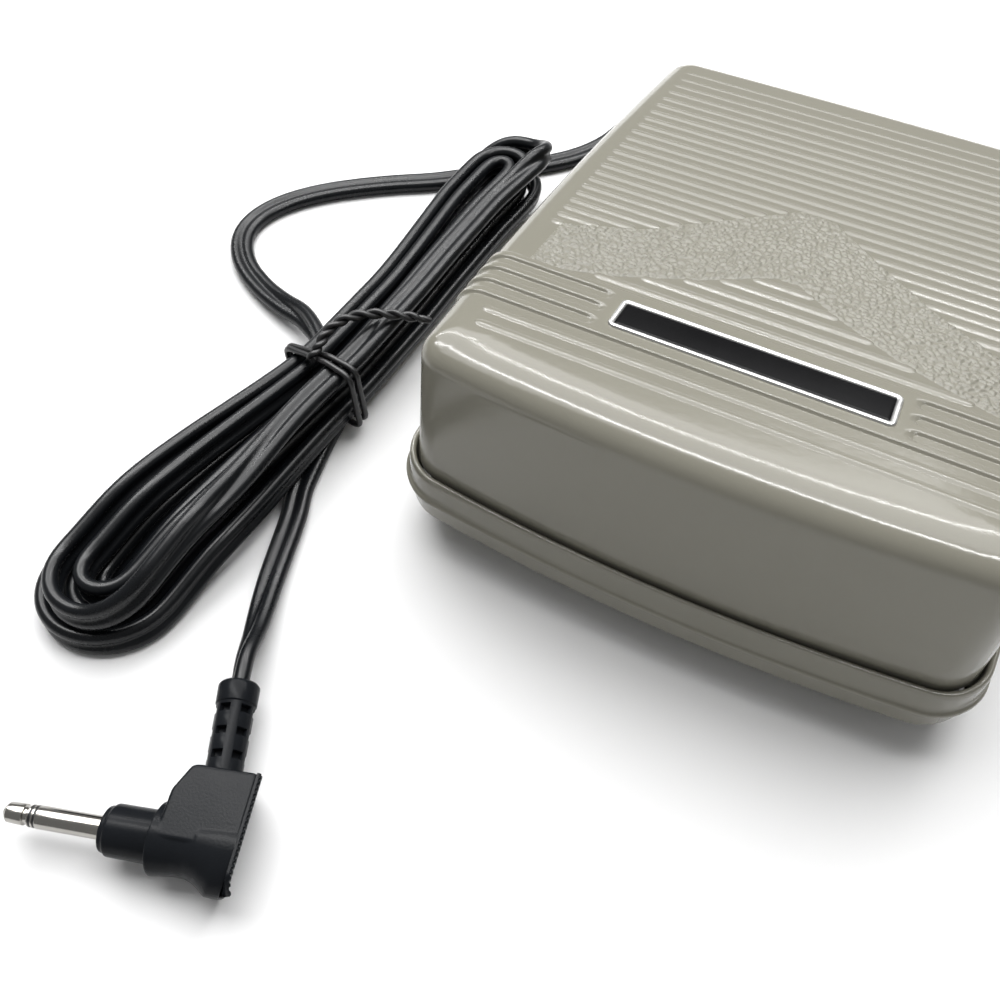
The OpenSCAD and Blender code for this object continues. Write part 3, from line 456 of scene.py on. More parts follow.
# Edges of the grained band, as (across, along)
BAND_TOP = ((-46, -19), (-41, -17.5), (-28, -11.2), (-12, 4.4), (-4.5, 11.7), (2, 11), (10, 3.4), (23, -7.4),
            (34, -14.2), (46, -20.5))
BAND_LOW = ((-46, -32), (-37, -31), (-28, -28.2), (-14, -20.7), (-3, -13), (1, -13), (8.8, -18.4), (20, -24.3),
            (32, -28.6), (46, -32.5))


def outline(inset):
    """The pedal's outline seen from above, moved in by the inset, anticlockwise from the front left corner."""
    s = sizes()
    hw, hl = s.width / 2, s.length / 2
    r = max(s.corner - inset, 2.5)
    w, l = hw - inset - r, hl - inset - r

    def corner(c, a):
        return np.array([(-1 if c in (0, 3) else 1) * w + r * math.cos(a),
                         (-1 if c < 2 else 1) * l + r * math.sin(a)])

    ring = []
    for c in range(4):
        a = math.pi * (1 + c / 2)
        ring += [corner(c, a + math.pi / 2 * k / CORNER_STEPS) for k in range(CORNER_STEPS + 1)]
        start, end = ring[-1], corner((c + 1) % 4, a + math.pi / 2)
        ring += [lerp(start, end, k / SIDE_STEPS) for k in range(1, SIDE_STEPS)]
    out = []
    for x, y in ring:
        bow = s.front_bow if y < 0 else s.rear_bow
        out.append((x * (1 - s.side_bow / (hw - inset) * (y / (hl - inset)) ** 2),
                    y * (1 - bow / (hl - inset) * (x / (hw - inset)) ** 2)))
    return out


def tread_z(y):
    s = sizes()
    return s.tall - (y + s.length / 2) * math.tan(s.slope)


def wall_in(z):
    s = sizes()
    return COVER_IN + (z - s.rim_top) * math.tan(s.draft)


def tread_ring(drop, extra):
    """A ring of the cover, drop below the tread plane and moved in by extra."""
    outer = outline(COVER_IN)
    depth = [wall_in(tread_z(p[1]) - sizes().edge) for p in outer]
    keys = sorted(set(round(d, 1) for d in depth))
    rings = {k: outline(k + extra) for k in keys}
    out = []
    for i, d in enumerate(depth):
        k = round(d, 1)
        lo = max([v for v in keys if v <= d + 1e-9], default=keys[0])
        hi = min([v for v in keys if v >= d - 1e-9], default=keys[-1])
        f = 0 if hi == lo else (d - lo) / (hi - lo)
        x = lerp(rings[lo][i][0], rings[hi][i][0], f)
        y = lerp(rings[lo][i][1], rings[hi][i][1], f)
        out.append((x, y, tread_z(y) - drop))
    return out


def eased_ring(drop, extra):
    """A tread ring whose inward step is longer along the badge end."""
    near, far = tread_ring(drop, extra), tread_ring(drop, extra * FRONT_EASE)
    n = len(near)
    out = []
    for i in range(n):
        tangent = np.array(near[(i + 1) % n][:2]) - np.array(near[i - 1][:2])
        share = max(0.0, tangent[0] / np.linalg.norm(tangent)) ** 2
        out.append(tuple(lerp(a, b, share) for a, b in zip(near[i], far[i])))
    return out


def cover_rings():
    """The cover's outside from its lower edge up the walls and over the rounded edge."""
    r = sizes().edge
    rings = [[(*p, COVER_Z) for p in outline(wall_in(COVER_Z))]]
    for k in range(EDGE_STEPS + 1):
        a = math.pi / 2 * k / EDGE_STEPS
        rings.append(eased_ring(r - r * math.sin(a), r - r * math.cos(a)))
    return rings + [eased_ring(0, r + 0.8)]


def half_width_at(y):
    """Half width of the cover where the wall meets the edge rounding."""
    side = sorted((p[1], p[0]) for p in tread_ring(sizes().edge, 0.0) if p[0] > 30)
    return level(side, y)


def on_tread(x, y, up=0.0):
    """A point above the tread plane, measured square to it."""
    a = sizes().slope
    return (x, y + up * math.sin(a), tread_z(y) + up * math.cos(a))


def level(line, at):
    """The second value of a line of pairs where the first is at."""
    return float(np.interp(at, *zip(*line)))


def crossing(line, y, pick):
    """Where the line passes y: its least or greatest x, by min or max."""
    spans = [(a, b) for a, b in zip(line, line[1:]) if (a[1] - y) * (b[1] - y) <= 0 and a[1] != b[1]]
    return pick(lerp(a[0], b[0], (y - a[1]) / (b[1] - a[1])) for a, b in spans)


def rib_spans():
    """Each fine rib as (x0, x1, y), with the same spacing rule as the solid."""
    s = sizes()
    peak, low_peak = (max(y for _, y in line) - 0.5 for line in (BAND_TOP, BAND_LOW))
    spans = []
    for k in range(RIB_COUNT):
        y = RIB_START + RIB_PITCH * k + RIB_GROWTH * k * (k - 1) / 2
        side = RIB_REACH - s.side_bow * (2 * y / s.length) ** 2 - (tread_z(y) - s.rim_top) * math.tan(s.draft)
        if y > RIB_END:
            break
        if y > peak:
            spans.append((-side, side, y))
        else:
            halves = ((-side, crossing(BAND_TOP, y, min) + TUCK), (crossing(BAND_TOP, y, max) - TUCK, side))
            spans += [(x0, x1, y) for x0, x1 in halves if x1 - x0 > 2.5]
    for k in range(1, SHORT_RIBS + 1):
        y = SHORT_START + SHORT_PITCH * k
        if y < low_peak:
            spans.append((crossing(BAND_LOW, y, min) - TUCK, crossing(BAND_LOW, y, max) + TUCK, y))
    return spans


# ---------------------------------------------------------------- geometry nodes

def node_tree(name, inputs):
    tree = bpy.data.node_groups.new(name, "GeometryNodeTree")
    tree.interface.new_socket("Geometry", in_out="INPUT", socket_type="NodeSocketGeometry")
    for label, kind, value in inputs:
        socket = tree.interface.new_socket(label, in_out="INPUT", socket_type="NodeSocket" + kind)
        if value is not None:
            socket.default_value = value
    tree.interface.new_socket("Geometry", in_out="OUTPUT", socket_type="NodeSocketGeometry")
    return tree


class Grow:
    """Adds geometry nodes: kind, then socket values or links, then settings."""

    def __init__(self, tree):
        self.tree = tree
        self.input = tree.nodes.new("NodeGroupInput").outputs
        self.output = tree.nodes.new("NodeGroupOutput").inputs

    def add(self, kind, values=None, **settings):
        prefix = "" if kind.startswith(("Shader", "Function", "Geometry")) else "GeometryNode"
        node = self.tree.nodes.new(prefix + kind)
        for key, value in settings.items():
            setattr(node, key, value)
        for key, value in (values or {}).items():
            if isinstance(value, bpy.types.NodeSocket):
                self.tree.links.new(value, node.inputs[key])
            else:
                node.inputs[key].default_value = value
        return node.outputs

    def math(self, operation, a, b=0.0):
        return self.add("ShaderNodeMath", {0: a, 1: b}, operation=operation)[0]

    def finish(self, geometry, material_socket):
        real = self.add("RealizeInstances", {"Geometry": geometry})[0]
        painted = self.add("SetMaterial", {"Geometry": real, "Material": material_socket})[0]
        self.tree.links.new(painted, self.output[0])


def rib_tree():
    """Domed bars along every edge of the input mesh."""
    tree = node_tree("tread_rib_bars", (("Half width", "Float", 0.0007), ("Height", "Float", 0.0005),
                                        ("Slope", "Float", 0.1745), ("Material", "Material", None)))
    g = Grow(tree)
    line = g.add("MeshToCurve", {"Mesh": g.input["Geometry"]})["Curve"]
    along = g.add("SplineParameter")["Length"]
    whole = g.add("SplineLength")["Length"]
    near = g.math("MINIMUM", along, g.math("SUBTRACT", whole, along))
    share = g.math("MINIMUM", g.math("DIVIDE", near, g.input["Half width"]), 1.0)
    dome = g.math("SQRT", g.math("SUBTRACT", 1.0, g.math("POWER", g.math("SUBTRACT", 1.0, share), 2.0)))
    base = g.add("CurvePrimitiveLine", {"Start": (0.0, -1.0, 0.0), "End": (0.0, 1.0, 0.0)})["Curve"]
    base = g.add("ResampleCurve", {"Curve": base, "Count": 15}, mode="COUNT")["Curve"]
    across = g.add("ShaderNodeSeparateXYZ", {0: g.add("InputPosition")[0]})[1]
    swell = g.math("MULTIPLY", g.math("ADD", g.math("COSINE", g.math("MULTIPLY", across, math.pi)), 1.0), 0.5)
    section = g.add("SetPosition", {"Geometry": base, "Offset": g.add("ShaderNodeCombineXYZ", {0: swell})[0]})[0]
    size = g.add("ShaderNodeCombineXYZ", {0: g.input["Height"], 1: g.input["Half width"], 2: 1.0})[0]
    section = g.add("Transform", {"Geometry": section, "Scale": size})[0]
    lean = g.input["Slope"]
    up = g.add("ShaderNodeCombineXYZ", {0: 0.0, 1: g.math("SINE", lean), 2: g.math("COSINE", lean)})[0]
    line = g.add("SetCurveNormal", {"Curve": line, "Normal": up}, mode="FREE")[0]
    strength = g.add("InputNamedAttribute", {"Name": "strength"}, data_type="FLOAT")[0]
    scale = g.math("MAXIMUM", g.math("MULTIPLY", dome, strength), 0.02)
    bars = g.add("CurveToMesh", {"Curve": line, "Profile Curve": section, "Scale": scale, "Fill Caps": True})[0]
    smooth = g.add("SetShadeSmooth", {"Geometry": bars})[0]
    g.finish(smooth, g.input["Material"])
    return tree


def teeth_tree():
    """Copies of one tooth in a row, an equal step apart."""
    tree = node_tree("grip_teeth", (("Count", "Int", 16), ("Step", "Vector", (0.0, 0.001, 0.0)),
                                    ("Material", "Material", None)))
    g = Grow(tree)
    row = g.add("MeshLine", {"Count": g.input["Count"], "Offset": g.input["Step"]}, mode="OFFSET")[0]
    copies = g.add("InstanceOnPoints", {"Points": row, "Instance": g.input["Geometry"]})[0]
    g.finish(copies, g.input["Material"])
    return tree


def grown(obj, tree, **values):
    """Runs a tree on the object and keeps the result as a plain mesh."""
    modifier = obj.modifiers.new(tree.name, "NODES")
    modifier.node_group = tree
    for item in tree.interface.items_tree:
        key = item.name.replace(" ", "_").lower()
        if item.in_out == "INPUT" and key in values:
            modifier[item.identifier] = values[key]
    applied(obj)


# ---------------------------------------------------------------- cord route, millimetres

def smooth(t):
    t = max(0.0, min(1.0, t))
    return t * t * (3 - 2 * t)


def hump(t):
    return math.cos(math.pi / 2 * t) ** 2 if abs(t) < 1 else 0.0


HANK_Y = -44.0
HANK_LOW, HANK_HIGH = 69.5, 81.0
LOW_R, HIGH_R, WAIST = 12.9, 10.2, 7.9
# Loops from the left of the waist to where the tail leaves the hank
LOOPS, LOOP_STEPS = 5.0417, 120
# Room under the hank's upper half for the lead that passes below it
LEAD_ROOM = 2.9
# Middle line of the hank, and the last strand's way under it, as (along, across)
SPINE = ((-130, -89.5), (-112, -88.6), (-90, -86), (-70, -82.2), (-45, -76.8), (-20, -75.2), (10, -75.4), (45, -72.6))
UNDER_PATH = ((-66, -71.2), (-60, -72.6), (-52, -74.0), (-44, -74.9), (-30, -75.4), (10, -74), (60, -70))
# Lead and tail, as (x, y, z, roll)
LEAD_POINTS = ((-22, 74, 3.6, 0), (-24, 79, 2, 0), (-28.5, 84, 1.4, 0), (-35, 86.5, 1.4, 0), (-42.5, 86, 1.4, 0),
               (-50, 82, 1.4, 0), (-56, 75, 1.4, 0), (-59, 66, 1.4, 0), (-61, 57, 1.4, 0), (-66, 48, 1.4, 0),
               (-74, 40, 1.4, 0), (-83, 32, 1.4, 0), (-92, 24.5, 1.4, 0), (-100, 19.4, 1.4, 0),
               (-107.6, 14, 1.4, 0), (-115, 7.6, 1.4, 0), (-120.6, 0.5, 1.4, 0), (-123.2, -6.5, 1.4, 0),
               (-122.4, -13.5, 1.5, 0), (-117, -20.5, 1.6, 0), (-108.6, -25.6, 2, 5), (-100.4, -28.8, 3, 20),
               (-93, -31.2, 4.4, 50))
TAIL_POINTS = ((-68.9, -71.9, 1.5, 4), (-66.8, -78.5, 1.6, 8), (-64.5, -85.9, 1.9, 14), (-61.8, -92.8, 2.8, 28),
               (-59.3, -98.5, 4.1, 48))
CORD_EXIT = (-22.0, 66.35, 4.65)
CORD_STEP = 1.2
TIE_Y = -47.5
PLUG_AT, PLUG_TURN = np.array([-60.3, -135.3, 5.9]), 17.6
PLUG_BACK, BODY_TOP, BODY_HALF = 22.1, 10.4, 5.25
RELIEF_X, RELIEF_LEN, RELIEF_LEAN = 15.25, 15.3, 8.0


def half_high(roll):
    """Half the cord's height when it is rolled by so many degrees."""
    c = cord_sizes()
    return math.hypot(c.width / 2 * math.sin(math.radians(roll)), c.thick / 2 * math.cos(math.radians(roll)))


def hank_lift(y):
    """How far the hank is raised where the lead passes below it."""
    return LEAD_ROOM * smooth((y + 104) / 22)


def lane(t):
    """How many strands lie outside this one. The last loop crosses to the hank's other side."""
    if t >= 4.6:
        return lerp(5 - t + 0.55, -0.17, smooth((t - 4.6) / 0.1))
    return max(0.0, min(t, 5 - t) + 0.2 * hump((t - 2.5) / 0.25)) + 0.55 * smooth((t - 4.4) / 0.08)


def opening(q, below):
    """How far a loop has opened, from the waist (0) to its full width (1), on its way to the turn."""
    return smooth(q / 0.5 * 1.35) if below else smooth((q / 0.5 - 0.35) / 0.65)


def quarter(q, wide, waist, reach, below):
    """A quarter of a loop as (across, along): out of the waist to q = 0.5, then round the end."""
    straight = reach - 13
    if q < 0.5:
        return lerp(waist, wide, opening(q, below)), straight * q / 0.5
    a = math.pi / 2 * (q - 0.5) / 0.5
    return wide * math.cos(a), straight + wide * math.sin(a)


def hank_point(t):
    """One place on the hank's tube: x, y, z and the section's roll. t counts loops from the left of the waist."""
    c = cord_sizes()
    turned = t - math.floor(t)
    k = int(turned / 0.25 + 1e-9)
    f = turned / 0.25 - k
    q = f if k % 2 == 0 else 1 - f
    below = k < 2
    inward = (c.thick + 0.08 + (1.9 if below else 0.5) * opening(q, below)) * lane(t)
    across, along = quarter(q, (LOW_R if below else HIGH_R) - inward, WAIST - inward,
                            HANK_LOW if below else HANK_HIGH, below)
    y = HANK_Y + (-along if below else along)
    x = level(SPINE, y) + (-1 if k in (0, 3) else 1) * across
    x = lerp(x, level(UNDER_PATH, y), smooth((t - 4.87) / 0.11))
    # The second layer, the last loop's way over it, and its way down to the floor
    second = smooth((t - 2.375) / 0.2)
    over = smooth((t - 4.27) / 0.13) - smooth((t - 4.64) / 0.1)
    down = smooth((t - 4.76) / 0.13)
    flat = smooth((t - 4.38) / 0.08) - smooth((t - 4.6) / 0.08) + smooth((t - 4.83) / 0.06)
    roll = (90 + 20 * math.sin(4 * math.pi * turned + 0.6) * smooth(t / 0.3)) * (1 - flat)
    rise = (c.width + 0.1) * (second + over) + hank_lift(y)
    return np.array([x, y, 0.05 + half_high(roll) + rise * (1 - down), roll])


def plug_point(x, y, z=0.0):
    a = math.radians(PLUG_TURN)
    return PLUG_AT + np.array([x * math.cos(a) - y * math.sin(a), x * math.sin(a) + y * math.cos(a), z])


def relief_ends():
    a = math.radians(RELIEF_LEAN)
    near = plug_point(RELIEF_X, BODY_TOP)
    return near, plug_point(RELIEF_X - RELIEF_LEN * math.sin(a), BODY_TOP + RELIEF_LEN * math.cos(a))


def flowing(points, steps=8):
    """A smooth curve through the points, tangents from the neighbours."""
    p = [np.array(q, float) for q in points]
    p = [2 * p[0] - p[1], *p, 2 * p[-1] - p[-2]]
    out = []
    for a, b, c, d in zip(p, p[1:], p[2:], p[3:]):
        reach = np.linalg.norm(c[:3] - b[:3])
        tb = (c - a) * reach / max(np.linalg.norm(c[:3] - a[:3]), 1e-6)
        tc = (d - b) * reach / max(np.linalg.norm(d[:3] - b[:3]), 1e-6)
        for k in range(steps):
            t = k / steps
            out.append((2 * t**3 - 3 * t**2 + 1) * b + (t**3 - 2 * t**2 + t) * tb
                       + (3 * t**2 - 2 * t**3) * c + (t**3 - t**2) * tc)
    out.append(p[-2])
    return out


def cord_route():
    """The whole cord from the gland to the plug: evenly spaced points with roll, and its length."""
    width = cord_sizes().width
    start = np.array([*CORD_EXIT, 0.0])
    first, second = hank_point(0.0), hank_point(1 / 24)
    heading = (second - first) / np.linalg.norm((second - first)[:3])
    turns = [hank_point(i / LOOP_STEPS) for i in range(int(LOOPS * LOOP_STEPS) + 1)]
    leave = (turns[-1] - turns[-2]) / np.linalg.norm((turns[-1] - turns[-2])[:3])
    near, end = relief_ends()
    out_way = (end - near) / np.linalg.norm(end - near)
    lead = flowing([start, start + (0, width, 0, 0), *LEAD_POINTS, first - width * heading, first])
    tail = flowing([turns[-1], turns[-1] + width * leave * (1, 1, 1, 0), *TAIL_POINTS,
                    np.array([*(end + out_way * width), 62.0]), np.array([*end, 70.0])])
    route = np.array(lead[:-1] + turns[:-1] + tail)
    length = run_along(route)[-1]
    route = evenly(route, int(length / CORD_STEP))
    for _ in range(5):
        route[1:-1] = route[1:-1] * 0.5 + (route[:-2] + route[2:]) * 0.25
    return route, length


def run_along(points):
    """Distance from the first point to each."""
    return np.concatenate([[0], np.cumsum(np.linalg.norm(np.diff(points[:, :3], axis=0), axis=1))])


def evenly(points, count):
    """The polyline resampled at equal steps."""
    run = run_along(points)
    at = np.linspace(0, run[-1], count)
    return np.stack([np.interp(at, run, column) for column in points.T], axis=1)


def unit(vectors):
    return vectors / np.linalg.norm(vectors, axis=1)[:, None]


def flat_section():
    """Two round cores side by side, with a groove between them on both faces."""
    c = cord_sizes()
    r = c.thick / 2
    centre = c.width / 2 - r
    reach = math.acos(-(centre - 0.28) / r)
    right = [(centre + r * math.cos(a), r * math.sin(a)) for a in np.linspace(-reach, reach, 15)]
    return right + [(-x, -y) for x, y in right]


def round_section(r, sides):
    return [(r * math.cos(a), r * math.sin(a)) for a in around(sides)]


def swept(route, section):
    """A tube along a route of (x, y, z, roll), its section in (across, up)."""
    p = route[:, :3]
    way = unit(np.gradient(p, axis=0))
    side = unit(np.cross((0, 0, 1), way))
    up = np.cross(way, side)
    roll = np.radians(route[:, 3])[:, None]
    across = side * np.cos(roll) + up * np.sin(roll)
    lift = up * np.cos(roll) - side * np.sin(roll)
    return stacked([[tuple(p[i] + across[i] * x + lift[i] * y) for x, y in section] for i in range(len(p))])


def ring_tube(p, r, sides=10):
    """A closed loop of round wire through the points."""
    n = len(p)
    way = unit(np.roll(p, -1, 0) - np.roll(p, 1, 0))
    side = unit(np.cross((0, 1, 0), way))
    up = np.cross(way, side)
    verts = [tuple(p[i] + r * (side[i] * math.cos(a) + up[i] * math.sin(a))) for i in range(n) for a in around(sides)]
    faces = [(i * sides + k, i * sides + (k + 1) % sides, (i + 1) % n * sides + (k + 1) % sides,
              (i + 1) % n * sides + k) for i in range(n) for k in range(sides)]
    return verts, faces


# ---------------------------------------------------------------- builders

class PedalPiece:
    """Shared by the operators that build a piece."""

    bl_options = {"REGISTER", "UNDO"}


class PEDAL_OT_camera(PedalPiece, bpy.types.Operator):
    """Place the camera above the tall end, to the right"""

    bl_idname = "pedal.camera"
    bl_label = "Camera"

    def execute(self, context):
        data = bpy.data.cameras.new("studio_camera")
        data.sensor_width = 36.0
        data.lens = 35.40
        data.clip_start = 0.01
        camera = bpy.data.objects.new("studio_camera", data)
        context.scene.collection.objects.link(camera)
        # The picture's axes seen from the pedal, then the camera's place in metres
        right = Vector((0.89096, 0.45409, 0.0))
        down = Vector((0.37550, -0.73676, -0.56231))
        ahead = Vector((-0.25534, 0.50099, -0.82693))
        turn = Matrix((right, -down, -ahead)).transposed()
        camera.matrix_world = Matrix.Translation((0.012106, -0.145954, 0.156009)) @ turn.to_4x4()
        context.scene.camera = camera
        return {"FINISHED"}


class PEDAL_OT_cord(PedalPiece, bpy.types.Operator):
    """Build the flat cord: lead, folded hank and tail"""

    bl_idname = "pedal.cord"
    bl_label = "Cord"

    def execute(self, context):
        route, length = cord_route()
        cord = piece("flat_cord", swept(route, flat_section()), sheath(), 60)
        seat(cord, "base", "cord_black", "cord_lead", "cord_hank", "cord_tail")
        context.scene["cord_length"] = length * MM
        context.scene["cord_path"] = [c * MM for p in route[::3] for c in p[:3]] + [c * MM for c in route[-1][:3]]
        return {"FINISHED"}


class PEDAL_OT_tie(PedalPiece, bpy.types.Operator):
    """Wind the wire tie twice round the waist and twist its ends"""

    bl_idname = "pedal.tie"
    bl_label = "Tie"

    def execute(self, context):
        c = cord_sizes()
        r = c.tie_wire
        # Middles of the cores that pass through the waist
        core = (c.width - c.thick) / 2
        bundle = []
        for t in np.linspace(0.02, 4.88, 900):
            x, y, z, roll = hank_point(t)
            if abs(y - TIE_Y) < 5:
                a = math.radians(roll)
                bundle += [(x + k * core * math.cos(a), z + k * core * math.sin(a)) for k in (-1, 1)]
        bundle = np.array(bundle)
        # Two laps drawn tight round them
        skin = c.thick / 2 + r + 0.05
        ways = [np.array([math.cos(a), math.sin(a)]) for a in around(96)]
        ring = [bundle[np.argmax(bundle @ way)] + skin * way for way in ways]
        ring = evenly(np.array(ring + ring[:1]), 72)[:-1]
        middle, top = ring[:, 0].mean(), ring[:, 1].max()
        strands = [ring_tube(np.array([(x, TIE_Y + ahead + tilt * (x - middle), z) for x, z in ring]), r)
                   for ahead, tilt in ((-0.7, -0.2), (0.75, -0.12))]
        # The ends, twisted together along a line given as (x, y, height over the laps)
        knot = ((-77.5, -49, -0.1), (-77.2, -46.5, 1.2), (-77.3, -42.5, 1.9), (-75.5, -38, 1.9), (-71.5, -34.2, 1.3),
                (-67, -31.2, 0), (-63.2, -28.6, -1.8))
        line = np.array(flowing([(x, y, top + rise, 0.0) for x, y, rise in knot], 14))
        way = unit(np.gradient(line[:, :3], axis=0))
        across = np.cross((0, 0, 1), way)
        up = np.cross(way, across)
        for start in (0, math.pi):
            twist = line.copy()
            for i in range(len(line)):
                a = i * 0.36 + start
                grip = 0.9 * r * min(1.0, (len(line) - i) / 10)
                twist[i, :3] += grip * (across[i] * math.cos(a) + up[i] * math.sin(a))
            strands.append(swept(twist, round_section(r * 0.95, 10)))
        cover = soft("tie_wire_cover", (0.009, 0.009, 0.01), 0.42, 1400)
        seat(piece("tie_wire", join_parts(strands), cover, 60), "base", "cord_black", "cord_tie")
        return {"FINISHED"}


def undercut(x, z):
    """How far the plug's back leans in below its top edge."""
    return 0.34 * (5.3 - z) * smooth((x - 13) / 8)


class PEDAL_OT_plug(PedalPiece, bpy.types.Operator):
    """Build the angled plug: body, grip plate, strain relief and jack"""

    bl_idname = "pedal.plug"
    bl_label = "Plug"

    def execute(self, context):
        place = Matrix.Translation(Vector(PLUG_AT)) @ Matrix.Rotation(math.radians(PLUG_TURN), 4, "Z")
        black = plug_moulding()
        plug_body(place, black)
        plug_grip(place, black)
        relief(place, black)
        jack(place)
        return {"FINISHED"}


def plug_body(place, black):
    """A waisted turned form round the jack, blended into a block."""
    profile = ((0.5, 0.02), (0.5, 3.45), (1.5, 3.5), (1.55, 3.9), (8.7, 3.95), (8.75, 5.5), (10.5, 5.25), (12.5, 4.98),
               (14.5, 5.02), (16.5, 5.45), (18.3, 6.2), (19.7, 6.95), (PLUG_BACK, 7.0), (PLUG_BACK, 0.02))
    verts, faces = lathe(softened(profile, 0.35, 4), 72)
    # Drawn in at top and bottom to the height of the block, so that it lies on the floor
    turned = [(x, y, z * min(1.0, (BODY_HALF + 0.1) / max(math.hypot(y, z), 1e-6))) for x, y, z in verts], faces
    corners = ((9.9, -1.0), (9.9, 6.1), (11.8, BODY_TOP - 0.3), (12.8, BODY_TOP), (PLUG_BACK, BODY_TOP),
               (PLUG_BACK, -1.0))
    ring = np.array(softened(corners, 0.5, 4, closed=True)[::-1])
    middle = ring.mean(axis=0)
    reach = np.linalg.norm(ring - middle, axis=1)[:, None]
    block = []
    for down, inset in ((0.0, 0.45), (0.12, 0.16), (0.45, 0.0)):
        level_ring = middle + (ring - middle) * (1 - inset / reach)
        block.append([(x, y, down - BODY_HALF) for x, y in level_ring])
    block += [[(x, y, -z) for x, y, z in level_ring] for level_ring in block[::-1]]
    verts, faces = join_parts([turned, stacked(block)])
    body = piece("plug_moulding_body", ([(x - undercut(x, z), y, z) for x, y, z in verts], faces), black, 0)
    # One skin over both forms, as a moulding has
    altered(body, ("REMESH", {"mode": "VOXEL", "voxel_size": 0.00016, "use_smooth_shade": True}),
            ("SMOOTH", {"factor": 0.5, "iterations": 3}))
    shift(body, place)
    seat(body, "base", "plug_black", "plug_body")


def plug_grip(place, black):
    """The serrated grip plate, its back curving in under the body."""
    low, count = -6.7, 21
    step = (BODY_TOP - low) / count
    back = ((22.3, 5.3), (22.6, 5.0), (22.7, 4.2), (22.7, 2), (22.7, -1), (22.7, -4), (22.4, -5.3))
    curve = [(x - undercut(22, z), z) for x, z in back]
    front = 21.9

    def bar(stations, ahead, half):
        """A bar along y through stations of (y, outward)."""
        foot = front - undercut(22, -5.3) + ahead
        return facing_out(stacked([[(front + ahead, y, half), *((x + out, y, z) for x, z in curve), (foot, y, -half)]
                                   for y, out in stations]))

    plate = piece("grip_plate", bar([(y, 0.0) for y in np.linspace(low, BODY_TOP, 60)], 0.0, 5.3), black, 30)
    tooth = ((low + 0.02, -0.1), (low + 0.22 * step, 0.24), (low + 0.6 * step, 0.24), (low + 0.8 * step, -0.1))
    teeth = piece("grip_tooth", bar(tooth, 0.1, 5.2), black, 30)
    grown(teeth, teeth_tree(), count=count, step=(0.0, step * MM, 0.0), material=black)
    grip = merged("plug_grip_plate", (plate, teeth), black, 30)
    # The lower end is round, like the turned form it closes
    for v in grip.data.vertices:
        y = v.co.y / MM
        room = MM * (math.sqrt(max(7.02 ** 2 - y * y, 4.0)) if y < 0 else 5.4)
        v.co.z = max(-room, min(room, v.co.z))
    shift(grip, place)
    seat(grip, "base", "plug_black", "plug_grip")


def facing_out(part):
    """The part with its faces turned outwards."""
    bm = bmesh.new()
    verts = [bm.verts.new(v) for v in part[0]]
    for f in part[1]:
        bm.faces.new([verts[i] for i in f])
    bmesh.ops.recalc_face_normals(bm, faces=bm.faces)
    bm.verts.index_update()
    out = [tuple(v.co) for v in bm.verts], [tuple(v.index for v in f.verts) for f in bm.faces]
    bm.free()
    return out


def shift(obj, matrix):
    """Moves the mesh by a placement given in millimetres."""
    m = matrix.copy()
    m.translation = m.translation * MM
    obj.data.transform(m)
    obj.data.update()


def merged(name, objects, material, sharp):
    """One mesh from several objects, which are removed."""
    bm = bmesh.new()
    for o in objects:
        bm.from_mesh(o.data)
    mesh = bpy.data.meshes.new(name)
    bm.to_mesh(mesh)
    bm.free()
    for o in objects:
        bpy.data.objects.remove(o)
    return dressed(name, mesh, material, sharp)


def relief(place, black):
    """Strain relief: a collar and a windowed sleeve with a spine along its top and bottom."""
    end = RELIEF_LEN
    profile = ((-0.8, 2.85), (0.0, 2.9), (end - 3.7, 3.1), (end - 3.6, 3.3), (end - 0.4, 3.38), (end, 3.0))
    sleeve = piece("plug_relief", lathe(softened(profile, 0.3, 3), 48), black, 40)
    # Rows of four windows, and a shallow notch across each spine
    cutters = []
    for k in range(3):
        a = 2.3 + k * 3.75
        for angles, low, high in (((72, 139, 252, 319), (a, 1.8, -0.95), (a + 1.3, 5, 0.95)),
                                  ((15, 195), (a - 0.1, 2.85, -1.2), (a + 1.4, 5, 1.2))):
            cutters += [moved(slab(low, high), Matrix.Rotation(math.radians(angle), 4, "X")) for angle in angles]
    knife = piece("relief_windows", join_parts(cutters), black, 0)
    altered(sleeve, ("BOOLEAN", {"operation": "DIFFERENCE", "object": knife, "solver": "EXACT", "use_self": True}))
    bpy.data.objects.remove(knife)
    altered(sleeve, ("BEVEL", {"width": 0.00012, "segments": 2, "limit_method": "ANGLE",
                               "angle_limit": math.radians(40)}))
    sleeve.data.set_sharp_from_angle(angle=math.radians(40))
    paint(sleeve.data, black)
    along = Matrix.Translation((RELIEF_X, BODY_TOP, 0)) @ Matrix.Rotation(math.radians(90 + RELIEF_LEAN), 4, "Z")
    shift(sleeve, place @ along)
    seat(sleeve, "base", "plug_black", "plug_strain_relief")


